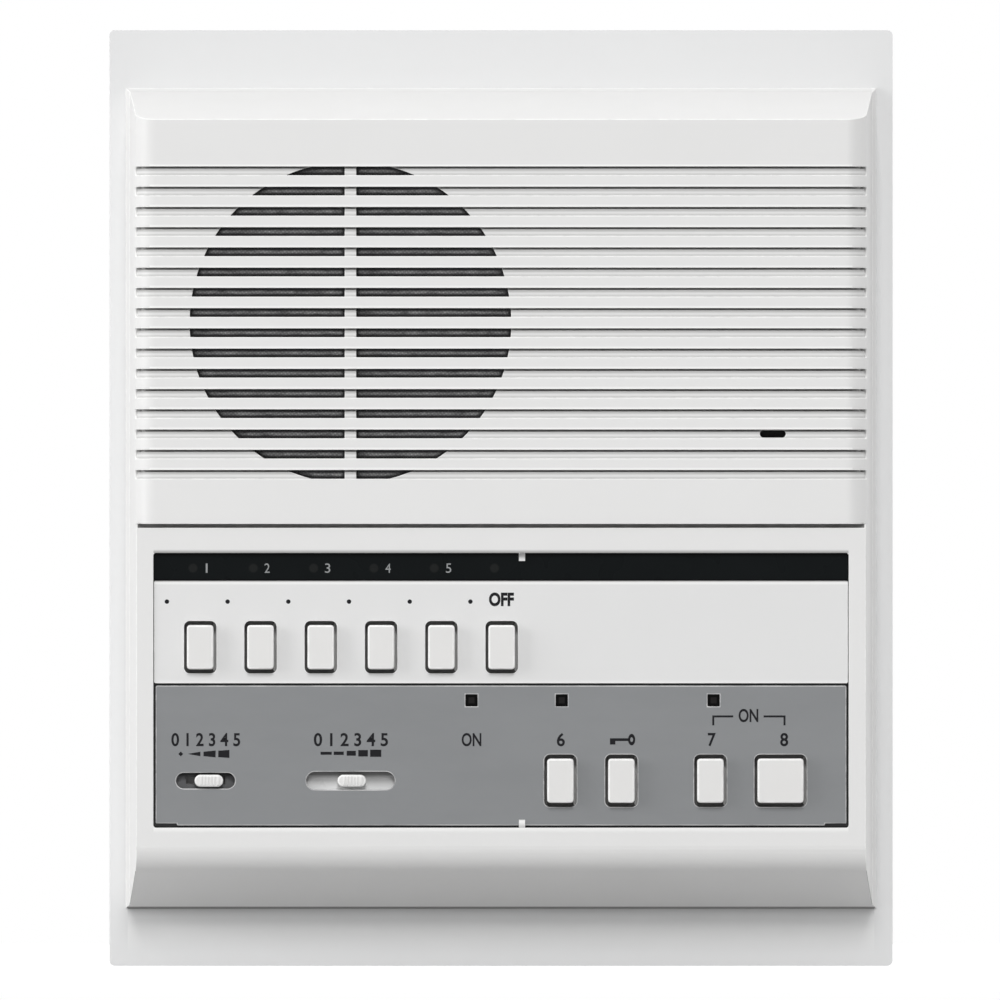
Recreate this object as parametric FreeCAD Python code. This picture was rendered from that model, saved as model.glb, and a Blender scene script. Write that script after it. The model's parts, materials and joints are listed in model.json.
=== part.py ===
import FreeCAD, Part
import math
import os

# Wall-mounted intercom master station, in millimetres.
# X runs to the right and Z up as seen by the user. Y points into the wall: y = 0 is the back
# of the mounting plate, lower y is nearer the user. The origin is the centre of the four
# mounting holes.

# ---------------------------------------------------------------- driving dimensions

# mounting plate: 175 by 210 over all, since it follows the case and its borders
side_border = 3.7
end_border = 13.0
plate_thickness = 2.0
plate_corner = 1.2
mount_spacing_z = 120.0
mount_hole_radius = 2.2
mount_head_room = 3.6
mount_flange_gap = 4.5
lug_width = 12.0
lug_thickness = 1.2
lug_height = 6.5
lug_spacing_x = 96.0
lug_clearance = 0.82
lug_barb = 0.6
barb_height = 1.2
catch_clearance = 0.2

# front case
case_width = 168.4
case_height = 184.0
case_depth = 24.0
side_slope = 2.6
top_slope = 7.2
bottom_slope = 9.7
lip_width = 0.9
lip_height = 1.7
lip_land = 0.6
case_wall = 2.2
grille_wall = 2.8
face_step = 1.0
grille_edge_round = 4.6
frame_edge_round = 0.5
inner_round = 1.0
bottom_round = 6.7
seam_height = 0.85
seam_depth = 1.4
seam_end = 0.3
step_rise = 6.5
moulding_root = 0.5

# speaker grille
louvre_pitch = 4.53
louvre_gap = 1.95
louvre_depth = 0.5
louvre_slit_height = 0.45
louvre_slit_depth = 2.1
louvre_slit_side = 1.3
louvre_wrap = 4.8
grille_head = 10.6
grille_foot = 10.0
grille_border = 2.5
rib_width = 2.6
microphone_inset = 20.75
rows_below_microphone = 2
microphone_slot_width = 5.8
microphone_slot_height = 1.6

# control window and the plates in it
window_side = 3.77
window_height = 61.52
window_corner = 0.6
window_foot = 8.48
window_recess = 0.4
panel_thickness = 1.1
panel_corner = 0.4
window_gap = 0.15
legend_gap = 0.5
pry_notch_width = 4.8
pry_notch_height = 0.45
strip_height = 6.2
directory_height = 23.0
catch_width = 1.4
catch_height = 1.8
catch_x = 4.7
catch_recess = 0.05

# panel carrier
carrier_wall = 2.0
carrier_side = 0.9
carrier_fit = 0.15
tab_size = 8.0
tab_rise = 5.0
tab_root = 1.6
tab_wall = 2.0
tab_offset = 4.4
tab_inset = 7.83
tab_clearance = 0.4
post_radius = 3.0
post_clearance = 0.5
post_top_drop = 11.0
post_row_rise = 12.3

# push buttons
station_count = 5
key_pitch = 13.5
key_first_inset = 10.48
key_row_lift = 8.1
key_width = 6.0
key_height = 10.0
key_gap = 0.6
key_tilt_gap = 0.25
key_corner = 0.7
key_edge = 0.4
key_proud = 2.4
key_travel = 2.2
key_flange = 1.0
key_flange_thickness = 1.0
stop_clearance = 0.3
function_row_lift = 10.52
all_call_inset = 64.53
door_inset = 50.88
privacy_inset = 30.95
talk_inset = 15.25
talk_width = 10.4
plunger_size = 3.4
plunger_socket = 3.0
plunger_clearance = 0.15

# switches and latch bar
switch_height = 9.0
switch_margin = 1.3
switch_end = 2.3
switch_floor = 1.2
latch_thickness = 1.0
latch_ratio = 0.5
latch_lid = 2.0
latch_gap = 0.3
latch_rail = 2.0
latch_end = 1.6

# volume sliders
music_slot_inset = 11.68
music_slot_length = 13.2
music_slot_height = 3.5
music_rest = 0.75
voice_slot_inset = 44.13
voice_slot_length = 19.8
voice_slot_height = 4.0
voice_rest = 0.3
knob_length = 6.4
knob_height = 2.7
knob_proud = 1.3
knob_edge = 0.35
knob_skin = 0.9
grip_count = 5
grip_pitch = 0.8
grip_width = 0.3
grip_depth = 0.3
grip_height = 1.9
slider_clearance = 0.3
slider_end = 5.5
slider_rail = 3.0
slider_drop = 1.0
lever_width = 2.0
lever_thickness = 1.2
lever_clearance = 1.0
shutter_thickness = 0.6
shutter_cover = 1.0
shutter_clearance = 0.2
shutter_depth = 0.9
pocket_floor = 0.9
pocket_wall = 1.5
flag_thickness = 0.3
flag_cover = 0.6
liner_rim = 1.0
liner_fit = 0.1
liner_floor = 0.9

# lamps and light guides
lamp_radius = 1.5
lamp_collar = 0.4
collar_thickness = 0.8
lamp_clearance = 0.2
lamp_first_inset = 8.88
lamp_row_drop = 3.4
station_lamp_count = 6
holder_height = 5.0
holder_end = 4.0
holder_gap = 2.6
lens_size = 2.6
lens_drop = 3.8
lens_fit = 0.05
lens_lamp_height = 5.4
lens_lamp_gap = 0.2
lens_insets = [84.43, 64.23, 30.23]

# main board and what stands on its back
board_thickness = 1.6
board_side = 1.1
board_corner = 1.0
board_hole_clearance = 0.25
board_top_drop = 1.0
board_foot = 1.25
transformer_inset = 29.0
transformer_height = 13.4
core_width = 24.0
core_thickness = 9.5
core_gap = 1.5
bobbin_width = 13.4
bobbin_length = 19.0
chip_row_drop = 19.0
chip_inset = 15.35
chip_length = 19.3
chip_width = 6.6
chip_height = 3.6
chip_standoff = 0.6
chip_gap = 4.7
leg_pitch = 2.54
legs_per_side = 7
leg_width = 0.5
leg_height = 1.9
leg_inset = 0.6
leg_reach = 0.5
can_row_drop = 27.0
can_inset = 17.0
can_radius = 4.0
can_height = 11.0
can_count = 5
can_gap = 4.0
can_groove_height = 1.6
can_groove_width = 0.6
can_groove_depth = 0.3

# speaker
speaker_room = 6.8
speaker_margin = 9.4
speaker_rim = 1.2
cloth_thickness = 0.4
cloth_inset = 0.5
gasket_thickness = 1.0
gasket_width = 3.6
gasket_inset = 0.2
surround_inset = 4.0
surround_width = 5.0
surround_land = 0.8
surround_roll = 0.45
ledge_width = 1.4
ledge_drop = 0.3
ledge_fit = 0.2
cone_back_radius = 9.5
cone_neck = 2.0
cone_depth = 9.5
paper = 0.5
cap_rise = 2.6
cap_fit = 0.1
cap_steps = 4
basket_depth = 13.0
basket_sheet = 0.9
basket_shoulder = 1.2
basket_seat = 2.0
basket_hole_count = 4
basket_hole_radius = 6.5
basket_hole_front = 1.5
basket_hole_back = 1.8
magnet_radius = 19.0
magnet_bore = 9.0
magnet_height = 7.0
pole_radius = 7.5
pole_clearance = 0.6
yoke_thickness = 2.5
yoke_inset = 1.0
tag_reach = 7.0
tag_width = 9.0
tag_root = 1.0
clamp_length = 9.0
clamp_width = 8.0
clamp_thickness = 1.2
clamp_overlap = 2.6
boss_radius = 3.2
boss_rise = 3.0
boss_gap = 0.4

# microphone
capsule_radius = 4.85
capsule_height = 5.2
capsule_port_radius = 0.8
capsule_port_depth = 0.6
boot_wall = 1.6
boot_front = 1.2
boot_fit = 0.05
boot_ring_height = 4.48

# rear cover
flange_clearance = 0.7
cover_wall = 2.0
cover_corner = 4.0
cover_inner_corner = 3.0
cover_flange = 5.0
cover_flange_thickness = 1.4
cover_slip = 0.5
cover_hole_clearance = 0.15
cover_screw_spacing = 60.0
shelf_height = 72.0
component_clearance = 0.9
vent_count = 6
vent_pitch = 6.0
vent_length = 44.0
vent_height = 2.0

# terminal block
terminal_count = 12
terminal_pitch = 7.6
terminal_width = 14.0
terminal_base = 5.0
terminal_wall = 1.4
terminal_rise = 4.6
terminal_lift = 22.0
terminal_floor = 1.0
terminal_screw_radius = 2.3
terminal_screw_head = 1.6
terminal_screw_gap = 0.5
terminal_slot_width = 0.8
terminal_slot_depth = 0.8
pin_size = 1.0
pin_root = 0.5
pin_clearance = 0.5
pin_slot_inset = 3.0

# fasteners and leads
screw_radius = 1.25
screw_head_radius = 2.5
screw_head_height = 1.6
screw_length = 6.0
screw_run_out = 0.4
screw_clearance = 0.05
recess_reach = 1.55
recess_width = 0.7
recess_depth = 0.8
cover_screw_length = 3.2
lead_radius = 0.6
lead_bend = 3.0
lead_rise = 7.0
lead_spacing = 3.0
lead_margin = 2.0
lead_run = 26.0
lead_turn_rise = 6.0
lead_landing = 4.0

# tools that cut holes reach this far past the faces they go through
overrun = 1.0

# ---------------------------------------------------------------- depths, front to back

plate_front = -plate_thickness
lip_front = plate_front - lip_height
grille_face = plate_front - case_depth
frame_face = grille_face + face_step
grille_back = grille_face + grille_wall
frame_back = frame_face + case_wall
panel_face = frame_face + window_recess
panel_back = panel_face + panel_thickness
carrier_back = panel_back + carrier_wall
flange_front = carrier_back + stop_clearance
flange_back = flange_front + key_flange_thickness
switch_front = flange_back + key_travel + stop_clearance
board_front = switch_front + switch_height
board_back = board_front + board_thickness
shelf_inner = board_back + transformer_height + component_clearance
shelf_outer = shelf_inner + cover_wall
cover_outer = shelf_outer + terminal_base + terminal_rise + component_clearance
cover_inner = cover_outer - cover_wall
cloth_back = grille_back + cloth_thickness
rim_front = cloth_back + gasket_thickness
rim_back = rim_front + speaker_rim
basket_back = rim_back + basket_depth
lug_top = plate_front - lug_height

# ---------------------------------------------------------------- case slopes

base_half_x = case_width / 2
base_half_z = case_height / 2


def side_at(y):
    # outside of the side wall; the slope starts at the lip
    run = lip_front - grille_face
    return base_half_x - lip_width - (side_slope - lip_width) * (lip_front - y) / run


def top_at(y):
    run = lip_front - grille_face
    return base_half_z - lip_width - (top_slope - lip_width) * (lip_front - y) / run


def bottom_at(y):
    run = lip_front - frame_face
    return -base_half_z + lip_width + (bottom_slope - lip_width) * (lip_front - y) / run


def slanted_wall(slope):
    # the wall measured along the face when it follows a slope
    return case_wall * math.hypot(slope, case_depth) / case_depth


# ---------------------------------------------------------------- places on the face

face_half_x = base_half_x - side_slope
face_top = base_half_z - top_slope
face_bottom = bottom_slope - base_half_z
window_width = 2 * (face_half_x - window_side)
window_left = -window_width / 2
window_right = window_width / 2
window_bottom = face_bottom + window_foot
window_top = window_bottom + window_height
window_middle = window_bottom + window_height / 2
step_z = window_top + step_rise

strip_bottom = window_top - strip_height
directory_bottom = strip_bottom - directory_height
key_row = directory_bottom + key_row_lift
function_row = window_bottom + function_row_lift
lamp_row = window_top - lamp_row_drop
lens_row = directory_bottom - lens_drop
lens_xs = [window_right - inset for inset in lens_insets]
station_xs = [window_left + key_first_inset + key_pitch * index for index in range(station_count)]
off_x = station_xs[-1] + key_pitch
lamp_xs = [window_left + lamp_first_inset + key_pitch * index for index in range(station_lamp_count)]
music_slot_x = window_left + music_slot_inset
voice_slot_x = window_left + voice_slot_inset

first_louvre = face_top - grille_head
louvre_count = int((first_louvre - louvre_gap - grille_foot - step_z) / louvre_pitch) + 1
grille_middle = first_louvre - louvre_gap / 2 - louvre_pitch * (louvre_count - 1) / 2
speaker_radius = (face_top - step_z) / 2 - speaker_room
speaker_x = speaker_margin + speaker_radius - face_half_x
grille_radius = speaker_radius - grille_border
microphone_x = face_half_x - microphone_inset
microphone_row = louvre_count - 1 - rows_below_microphone
microphone_z = first_louvre - louvre_pitch * microphone_row - louvre_gap / 2

# ---------------------------------------------------------------- places behind the face

mount_x = side_at(lip_front) - case_wall - mount_head_room
mount_z = mount_spacing_z / 2
cover_half_x = mount_x - mount_flange_gap - cover_flange
lug_z = -bottom_at(lug_top) - slanted_wall(bottom_slope) - lug_barb - lug_clearance
cover_half_z = lug_z - lug_thickness - flange_clearance - cover_flange
shelf_edge = shelf_height - cover_half_z
board_width = window_width - 2 * board_side
board_top = window_top - board_top_drop
board_bottom = window_bottom - board_foot
chip_row = board_top - chip_row_drop
can_row = board_top - can_row_drop
post_x = cover_half_x - cover_wall - screw_head_radius - post_clearance
tab_x = window_right - tab_inset
tab_top = window_top + tab_offset
tab_bottom = window_bottom - tab_offset
tab_seat = frame_back + tab_rise
boss_top = rim_back + boss_rise
boot_radius = capsule_radius + boot_wall


# ---------------------------------------------------------------- shape helpers

def vector(x, y, z):
    return FreeCAD.Vector(x, y, z)


def block(x, y, z):
    # each argument is a (low, high) pair
    return Part.makeBox(x[1] - x[0], y[1] - y[0], z[1] - z[0], vector(x[0], y[0], z[0]))


def span(middle, width):
    return (middle - width / 2, middle + width / 2)


def rod(radius, y, x, z):
    # round bar along Y
    return Part.makeCylinder(radius, y[1] - y[0], vector(x, y[0], z), vector(0, 1, 0))


def slab(width, height, corner, y, x, z):
    # plate facing the user with four rounded corners
    solid = block(span(x, width), y, span(z, height))
    corners = [edge for edge in solid.Edges if abs(edge.tangentAt(edge.FirstParameter).y) > 0.99]
    return solid.makeFillet(corner, corners)


def pill(length, height, y, x, z):
    # slot shape with round ends, long side along X
    reach = (length - height) / 2
    middle = block((x - reach, x + reach), y, span(z, height))
    ends = [rod(height / 2, y, x + side * reach, z) for side in (-1, 1)]
    return middle.fuse(ends).removeSplitter()


def outline(corners, place):
    # closed face through (a, b, radius) corners; place turns (a, b) into a point
    stops = []
    for index, (a, b, radius) in enumerate(corners):
        here = vector(a, b, 0)
        before = corners[index - 1]
        after = corners[(index + 1) % len(corners)]
        back = (vector(before[0], before[1], 0) - here).normalize()
        ahead = (vector(after[0], after[1], 0) - here).normalize()
        if radius == 0:
            stops.append((here, None, here))
            continue
        half = back.getAngle(ahead) / 2
        reach = radius / math.tan(half)
        inward = (back + ahead).normalize()
        middle = here + inward * (radius / math.sin(half) - radius)
        stops.append((here + back * reach, middle, here + ahead * reach))
    edges = []
    for index, (start, middle, end) in enumerate(stops):
        if middle is not None:
            points = [place(point.x, point.y) for point in (start, middle, end)]
            edges.append(Part.Arc(*points).toShape())
        following = stops[(index + 1) % len(stops)][0]
        edges.append(Part.LineSegment(place(end.x, end.y), place(following.x, following.y)).toShape())
    return Part.Face(Part.Wire(edges))


def prism_along_z(corners, z):
    face = outline(corners, lambda a, b: vector(a, b, z[0]))
    return face.extrude(vector(0, 0, z[1] - z[0]))


def prism_along_x(corners, x):
    face = outline(corners, lambda a, b: vector(x[0], a, b))
    return face.extrude(vector(x[1] - x[0], 0, 0))


def turned(profile, x, z):
    # profile is a list of (radius, y) points, spun about the Y line through (x, z)
    points = [vector(x + radius, y, z) for radius, y in profile]
    points.append(points[0])
    face = Part.Face(Part.makePolygon(points))
    return face.revolve(vector(x, 0, z), vector(0, 1, 0), 360)


def lead(points, radius, bend):
    # round wire along straight runs joined by arcs
    edges = []
    start = points[0]
    for index in range(1, len(points) - 1):
        here = points[index]
        back = (points[index - 1] - here).normalize()
        ahead = (points[index + 1] - here).normalize()
        half = back.getAngle(ahead) / 2
        reach = bend / math.tan(half)
        inward = (back + ahead).normalize()
        middle = here + inward * (bend / math.sin(half) - bend)
        edges.append(Part.LineSegment(start, here + back * reach).toShape())
        edges.append(Part.Arc(here + back * reach, middle, here + ahead * reach).toShape())
        start = here + ahead * reach
    edges.append(Part.LineSegment(start, points[-1]).toShape())
    path = Part.Wire(edges)
    ring = Part.Wire(Part.makeCircle(radius, points[0], points[1] - points[0]))
    return path.makePipeShell([ring], True, False)


def screw(x, z, seat, length, toward):
    # tapping screw; its head sits on y = seat and the shank runs in the direction toward
    shank = sorted((seat, seat + toward * length))
    head = sorted((seat, seat - toward * screw_head_height))
    top = seat - toward * screw_head_height
    recess = sorted((top, top + toward * recess_depth))
    solid = rod(screw_radius, shank, x, z).fuse(rod(screw_head_radius, head, x, z))
    cross = [
        block(span(x, 2 * recess_reach), recess, span(z, recess_width)),
        block(span(x, recess_width), recess, span(z, 2 * recess_reach)),
    ]
    return solid.cut(cross)


def pilot(seat, x, z):
    # blind hole for a tapping screw whose head rests on y = seat
    deep = seat - screw_length - screw_run_out
    return rod(screw_radius + screw_clearance, (deep, seat + overrun), x, z)


def together(solids):
    return Part.makeCompound(solids)


# ---------------------------------------------------------------- mounting plate

sides = (-1, 1)
mount_holes = [(right * mount_x, up * mount_z) for right in sides for up in sides]
cover_screw_x = cover_screw_spacing / 2
cover_screw_z = cover_half_z + cover_flange / 2
cover_screws = [(right * cover_screw_x, up * cover_screw_z) for right in sides for up in sides]


def mounting_plate():
    width = case_width + 2 * side_border
    height = case_height + 2 * end_border
    through = (plate_front - overrun, overrun)
    solid = slab(width, height, plate_corner, (plate_front, 0), 0, 0)
    cuts = [
        slab(
            2 * (cover_half_x + cover_slip),
            2 * (cover_half_z + cover_slip),
            cover_corner + cover_slip,
            through,
            0,
            0,
        )
    ]
    cuts += [rod(mount_hole_radius, through, x, z) for x, z in mount_holes]
    cuts += [rod(screw_radius + screw_clearance, through, x, z) for x, z in cover_screws]
    lugs = []
    for up in sides:
        for right in sides:
            x = span(right * lug_spacing_x / 2, lug_width)
            blade = sorted((up * lug_z, up * (lug_z - lug_thickness)))
            barb = sorted((up * lug_z, up * (lug_z + lug_barb)))
            lugs.append(block(x, (lug_top, plate_front), blade))
            lugs.append(block(x, (lug_top, lug_top + barb_height), barb))
    return solid.cut(cuts).fuse(lugs).removeSplitter()


# ---------------------------------------------------------------- front case

def louvre_z(row):
    high = first_louvre - louvre_pitch * row
    return (high - louvre_gap, high)


def case_from_above(inset, corner, front_inset=None):
    # outline seen from above, inset from the outside all round, or by its own depth at the front
    front = grille_face + (inset if front_inset is None else front_inset)
    side_front = side_at(grille_face) - inset
    side_back = side_at(lip_front) - inset
    land = plate_front - lip_land
    return [
        (inset - base_half_x, plate_front, 0),
        (base_half_x - inset, plate_front, 0),
        (base_half_x - inset, land, 0),
        (side_back, lip_front, 0),
        (side_front, front, corner),
        (-side_front, front, corner),
        (-side_back, lip_front, 0),
        (inset - base_half_x, land, 0),
    ]


def case_outside():
    land = plate_front - lip_land
    side_view = [
        (plate_front, -base_half_z, 0),
        (plate_front, base_half_z, 0),
        (land, base_half_z, 0),
        (lip_front, top_at(lip_front), 0),
        (grille_face, face_top, 0),
        (grille_face, step_z, 0),
        (frame_face, step_z, 0),
        (frame_face, face_bottom, bottom_round),
        (lip_front, bottom_at(lip_front), 0),
        (land, -base_half_z, 0),
    ]
    body = prism_along_x(side_view, (-case_width, case_width))
    upper = prism_along_z(case_from_above(0, grille_edge_round), (step_z, case_height))
    lower = prism_along_z(case_from_above(0, frame_edge_round), (-case_height, step_z))
    return body.common(upper.fuse(lower))


def case_inside():
    behind = plate_front + overrun
    top_wall = slanted_wall(top_slope)
    bottom_wall = slanted_wall(bottom_slope)
    side_view = [
        (behind, bottom_at(lip_front) + bottom_wall, 0),
        (behind, top_at(lip_front) - top_wall, 0),
        (lip_front, top_at(lip_front) - top_wall, 0),
        (grille_back, top_at(grille_back) - top_wall, 0),
        (grille_back, step_z, 0),
        (frame_back, step_z, 0),
        (frame_back, bottom_at(frame_back) + bottom_wall, bottom_round - case_wall),
        (lip_front, bottom_at(lip_front) + bottom_wall, 0),
    ]
    inner_back = side_at(lip_front) - case_wall
    inner_front = side_at(grille_back) - case_wall
    top_view = [
        (-inner_back, behind, 0),
        (inner_back, behind, 0),
        (inner_back, lip_front, 0),
        (inner_front, grille_back, inner_round),
        (-inner_front, grille_back, inner_round),
        (-inner_back, lip_front, 0),
    ]
    body = prism_along_x(side_view, (-case_width, case_width))
    return body.common(prism_along_z(top_view, (-case_height, case_height)))


def slit_z(row):
    high = louvre_z(row)[1]
    return (high - louvre_slit_height, high)


def grille_cuts():
    # each louvre is a shallow groove with a narrow deep slit along its upper edge
    rows = range(louvre_count)
    across = (-case_width, case_width)
    through = (grille_face - overrun, grille_back + overrun)
    rise = (louvre_z(louvre_count - 1)[0] - overrun, first_louvre + overrun)
    core = prism_along_z(case_from_above(louvre_depth, grille_edge_round - louvre_depth), rise)
    slit_core = prism_along_z(case_from_above(louvre_slit_side, inner_round, louvre_slit_depth), rise)
    wrap = (grille_face - overrun, grille_face + louvre_wrap)
    grooves = together([block(across, wrap, louvre_z(row)) for row in rows]).cut(core)
    slits = together([block(across, wrap, slit_z(row)) for row in rows]).cut(slit_core)
    disc = rod(grille_radius, through, speaker_x, grille_middle)
    rib = block(span(speaker_x, rib_width), through, (-case_height, case_height))
    slots = [block(across, through, louvre_z(row)).common(disc) for row in rows]
    sound_hole = pill(microphone_slot_width, microphone_slot_height, through, microphone_x, microphone_z)
    return [grooves, slits, together(slots).cut(rib), sound_hole]


boss_place = (speaker_radius + boss_radius + boss_gap) * math.sqrt(0.5)
speaker_bosses = [
    (speaker_x + right * boss_place, grille_middle + up * boss_place)
    for right in sides
    for up in sides
]
carrier_tabs = [(right * tab_x, z) for right in sides for z in (tab_top, tab_bottom)]


def case_fittings():
    # bosses, ring and catches moulded on the inside
    adds = []
    for x, z in speaker_bosses:
        adds.append(rod(boss_radius, (grille_back - moulding_root, boss_top), x, z))
    for x, z in carrier_tabs:
        adds.append(rod(boss_radius, (frame_back - moulding_root, tab_seat), x, z))
    ring = (grille_back - moulding_root, grille_back + boot_ring_height)
    adds.append(rod(boot_radius + case_wall, ring, microphone_x, microphone_z))
    catch_front = lug_top + barb_height + catch_clearance
    for up, edge in ((1, top_at), (-1, bottom_at)):
        for right in sides:
            reach = abs(edge(catch_front)) - case_wall / 2
            z = sorted((up * (lug_z + catch_clearance), up * reach))
            y = (catch_front, catch_front + barb_height)
            adds.append(block(span(right * lug_spacing_x / 2, lug_width), y, z))
    return together(adds).common(case_outside())


def front_case():
    solid = case_outside().cut(case_inside()).fuse(case_fittings().Solids)
    through = (grille_face - overrun, frame_back + overrun)
    cuts = grille_cuts()
    cuts.append(slab(window_width, window_height, window_corner, through, 0, window_middle))
    cuts.append(
        block(
            span(0, 2 * (face_half_x - seam_end)),
            (grille_face - overrun, frame_face + seam_depth),
            (step_z - seam_height, step_z),
        )
    )
    for x, z in speaker_bosses:
        cuts.append(pilot(boss_top + clamp_thickness, x, z))
    for x, z in carrier_tabs:
        cuts.append(pilot(tab_seat + tab_wall, x, z))
    pocket = (grille_back, grille_back + boot_front + capsule_height)
    cuts.append(rod(boot_radius, pocket, microphone_x, microphone_z))
    catches = []
    for up, edge in ((1, window_top), (-1, window_bottom)):
        z = sorted((edge + up * moulding_root, edge - up * catch_height))
        y = (frame_face + catch_recess, panel_face - catch_recess)
        catches.append(block(span(catch_x, catch_width), y, z))
    return solid.cut(cuts).fuse(catches).removeSplitter()


# ---------------------------------------------------------------- control panel

selector_keys = [("selector_button_%d" % (index + 1), x, key_width) for index, x in enumerate(station_xs)]
selector_keys.append(("off_button", off_x, key_width))
function_keys = [
    ("all_call_button", window_right - all_call_inset, key_width),
    ("door_release_button", window_right - door_inset, key_width),
    ("privacy_button", window_right - privacy_inset, key_width),
    ("talk_button", window_right - talk_inset, talk_width),
]


def key_openings(keys, row, y):
    height = key_height + 2 * (key_gap + key_tilt_gap)
    corner = key_corner + key_gap
    return [slab(width + 2 * key_gap, height, corner, y, x, row) for _, x, width in keys]


def lens_openings(y):
    size = lens_size + 2 * lens_fit
    return [block(span(x, size), y, span(lens_row, size)) for x in lens_xs]


def panel_part(low, high, gap_x):
    # one plate of the control panel, as wide as the window allows
    width = window_width - 2 * gap_x
    return slab(width, high - low, panel_corner, (panel_face, panel_back), 0, (low + high) / 2)


def indicator_window():
    return panel_part(strip_bottom, window_top - window_gap, window_gap)


def directory_plate():
    plate = panel_part(directory_bottom, strip_bottom, window_gap)
    return plate.cut(key_openings(selector_keys, key_row, (panel_face - overrun, panel_back + overrun)))


def legend_plate():
    low = window_bottom + legend_gap
    plate = panel_part(low, directory_bottom - legend_gap, legend_gap)
    through = (panel_face - overrun, panel_back + overrun)
    cuts = key_openings(function_keys, function_row, through) + lens_openings(through)
    notch = (low - overrun, low + pry_notch_height)
    for side in sides:
        edge = side * (window_width / 2 - legend_gap)
        cuts.append(block(sorted((edge + side * overrun, edge - side * pry_notch_width)), through, notch))
    cuts.append(pill(music_slot_length, music_slot_height, through, music_slot_x, function_row))
    cuts.append(pill(voice_slot_length, voice_slot_height, through, voice_slot_x, function_row))
    return plate.cut(cuts)


def knob_travel(slot_length):
    return (slot_length - knob_length) / 2 - slider_clearance


music_travel = knob_travel(music_slot_length)
voice_travel = knob_travel(voice_slot_length)
music_knob_x = music_slot_x + music_rest
voice_knob_x = voice_slot_x + voice_rest
shutter_front = panel_back + shutter_depth
shutter_back = shutter_front + shutter_thickness
shutter_length = voice_slot_length + 2 * (voice_travel + shutter_cover)
shutter_height = voice_slot_height + 2 * shutter_cover
pocket_bottom = shutter_back + shutter_clearance
pocket_back = max(carrier_back, pocket_bottom + pocket_floor)
posts = [(side * post_x, z) for side in (-1, 0, 1) for z in (window_top - post_top_drop, function_row + post_row_rise)]


def lever_opening(slot_x, travel, y):
    length = lever_width + 2 * (travel + slider_clearance)
    height = lever_thickness + 2 * slider_clearance
    return block(span(slot_x, length), y, span(function_row, height))


def panel_carrier():
    margin = 2 * (window_gap + carrier_fit)
    raised = slab(
        window_width - margin,
        window_height - margin,
        panel_corner,
        (panel_back, carrier_back),
        0,
        window_middle,
    )
    skirt_x = side_at(frame_back) - case_wall - carrier_side
    skirt_z = (tab_bottom + boss_radius + tab_clearance, tab_top - boss_radius - tab_clearance)
    adds = [block((-skirt_x, skirt_x), (frame_back, carrier_back), skirt_z)]
    for x, z in carrier_tabs:
        up = 1 if z > window_middle else -1
        edge = skirt_z[1] if up > 0 else skirt_z[0]
        ear = sorted((edge - up * tab_root, z + up * (boss_radius - tab_clearance)))
        foot = sorted((edge - up * tab_root, edge))
        adds.append(block(span(x, tab_size), (tab_seat, tab_seat + tab_wall), ear))
        adds.append(block(span(x, tab_size), (carrier_back, tab_seat + tab_wall), foot))
    for x, z in posts:
        adds.append(rod(post_radius, (carrier_back, board_front), x, z))
    through = (panel_back - overrun, carrier_back + overrun)
    cuts = key_openings(selector_keys, key_row, through)
    cuts += key_openings(function_keys, function_row, through)
    cuts += lens_openings(through)
    liner_margin = 2 * (liner_rim + liner_fit)
    cuts.append(
        pill(
            music_slot_length + liner_margin,
            music_slot_height + liner_margin,
            (panel_back - overrun, pocket_back + overrun),
            music_slot_x,
            function_row,
        )
    )
    # the shutter's pocket is deeper than the wall, so the wall is thicker round it
    pocket_length = shutter_length + 2 * (voice_travel + slider_clearance)
    pocket_height = shutter_height + 2 * shutter_clearance
    pad_x = span(voice_slot_x, pocket_length + 2 * pocket_wall)
    adds.append(block(pad_x, (panel_back, pocket_back), span(function_row, pocket_height + 2 * pocket_wall)))
    pocket = (panel_back - overrun, pocket_bottom)
    cuts.append(block(span(voice_slot_x, pocket_length), pocket, span(function_row, pocket_height)))
    cuts.append(lever_opening(voice_slot_x, voice_travel, (panel_back - overrun, pocket_back + overrun)))
    for x in lamp_xs:
        cuts.append(rod(lamp_radius + lamp_clearance, through, x, lamp_row))
    for x, z in posts:
        cuts.append(pilot(board_back, x, z))
    for x, z in carrier_tabs:
        tab = (tab_seat - overrun, tab_seat + tab_wall + overrun)
        cuts.append(rod(screw_radius + screw_clearance, tab, x, z))
    return raised.fuse(adds).cut(cuts)


# ---------------------------------------------------------------- push buttons

plunger_front = flange_back - plunger_socket
plunger_well = board_front - switch_floor
plunger_end = plunger_well - key_travel - stop_clearance


def key_cap(x, z, width):
    face = panel_face - key_proud
    cap = slab(width, key_height, key_corner, (face, flange_front + moulding_root), x, z)
    front_edges = [edge for edge in cap.Edges if edge.BoundBox.YMax < face + key_edge / 2]
    cap = cap.makeFillet(key_edge, front_edges)
    flange = slab(
        width + 2 * key_flange,
        key_height + 2 * key_flange,
        key_corner + key_flange,
        (flange_front, flange_back),
        x,
        z,
    )
    size = plunger_size + 2 * screw_clearance
    socket = block(span(x, size), (plunger_front, flange_back + overrun), span(z, size))
    return cap.fuse(flange).cut(socket).removeSplitter()


def key_plunger(x, z):
    return block(span(x, plunger_size), (plunger_front, plunger_end), span(z, plunger_size))


def plunger_wells(keys, row):
    size = plunger_size + 2 * plunger_clearance
    well = (switch_front - overrun, plunger_well)
    return [block(span(x, size), well, span(row, size)) for _, x, _ in keys]


latch_travel = key_travel * latch_ratio
latch_front = switch_front + latch_lid
latch_back = latch_front + latch_thickness
latch_height = plunger_size + 2 * latch_rail
latch_low = station_xs[0] - key_width / 2 - latch_end
latch_high = off_x + key_width / 2 + latch_end


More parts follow.
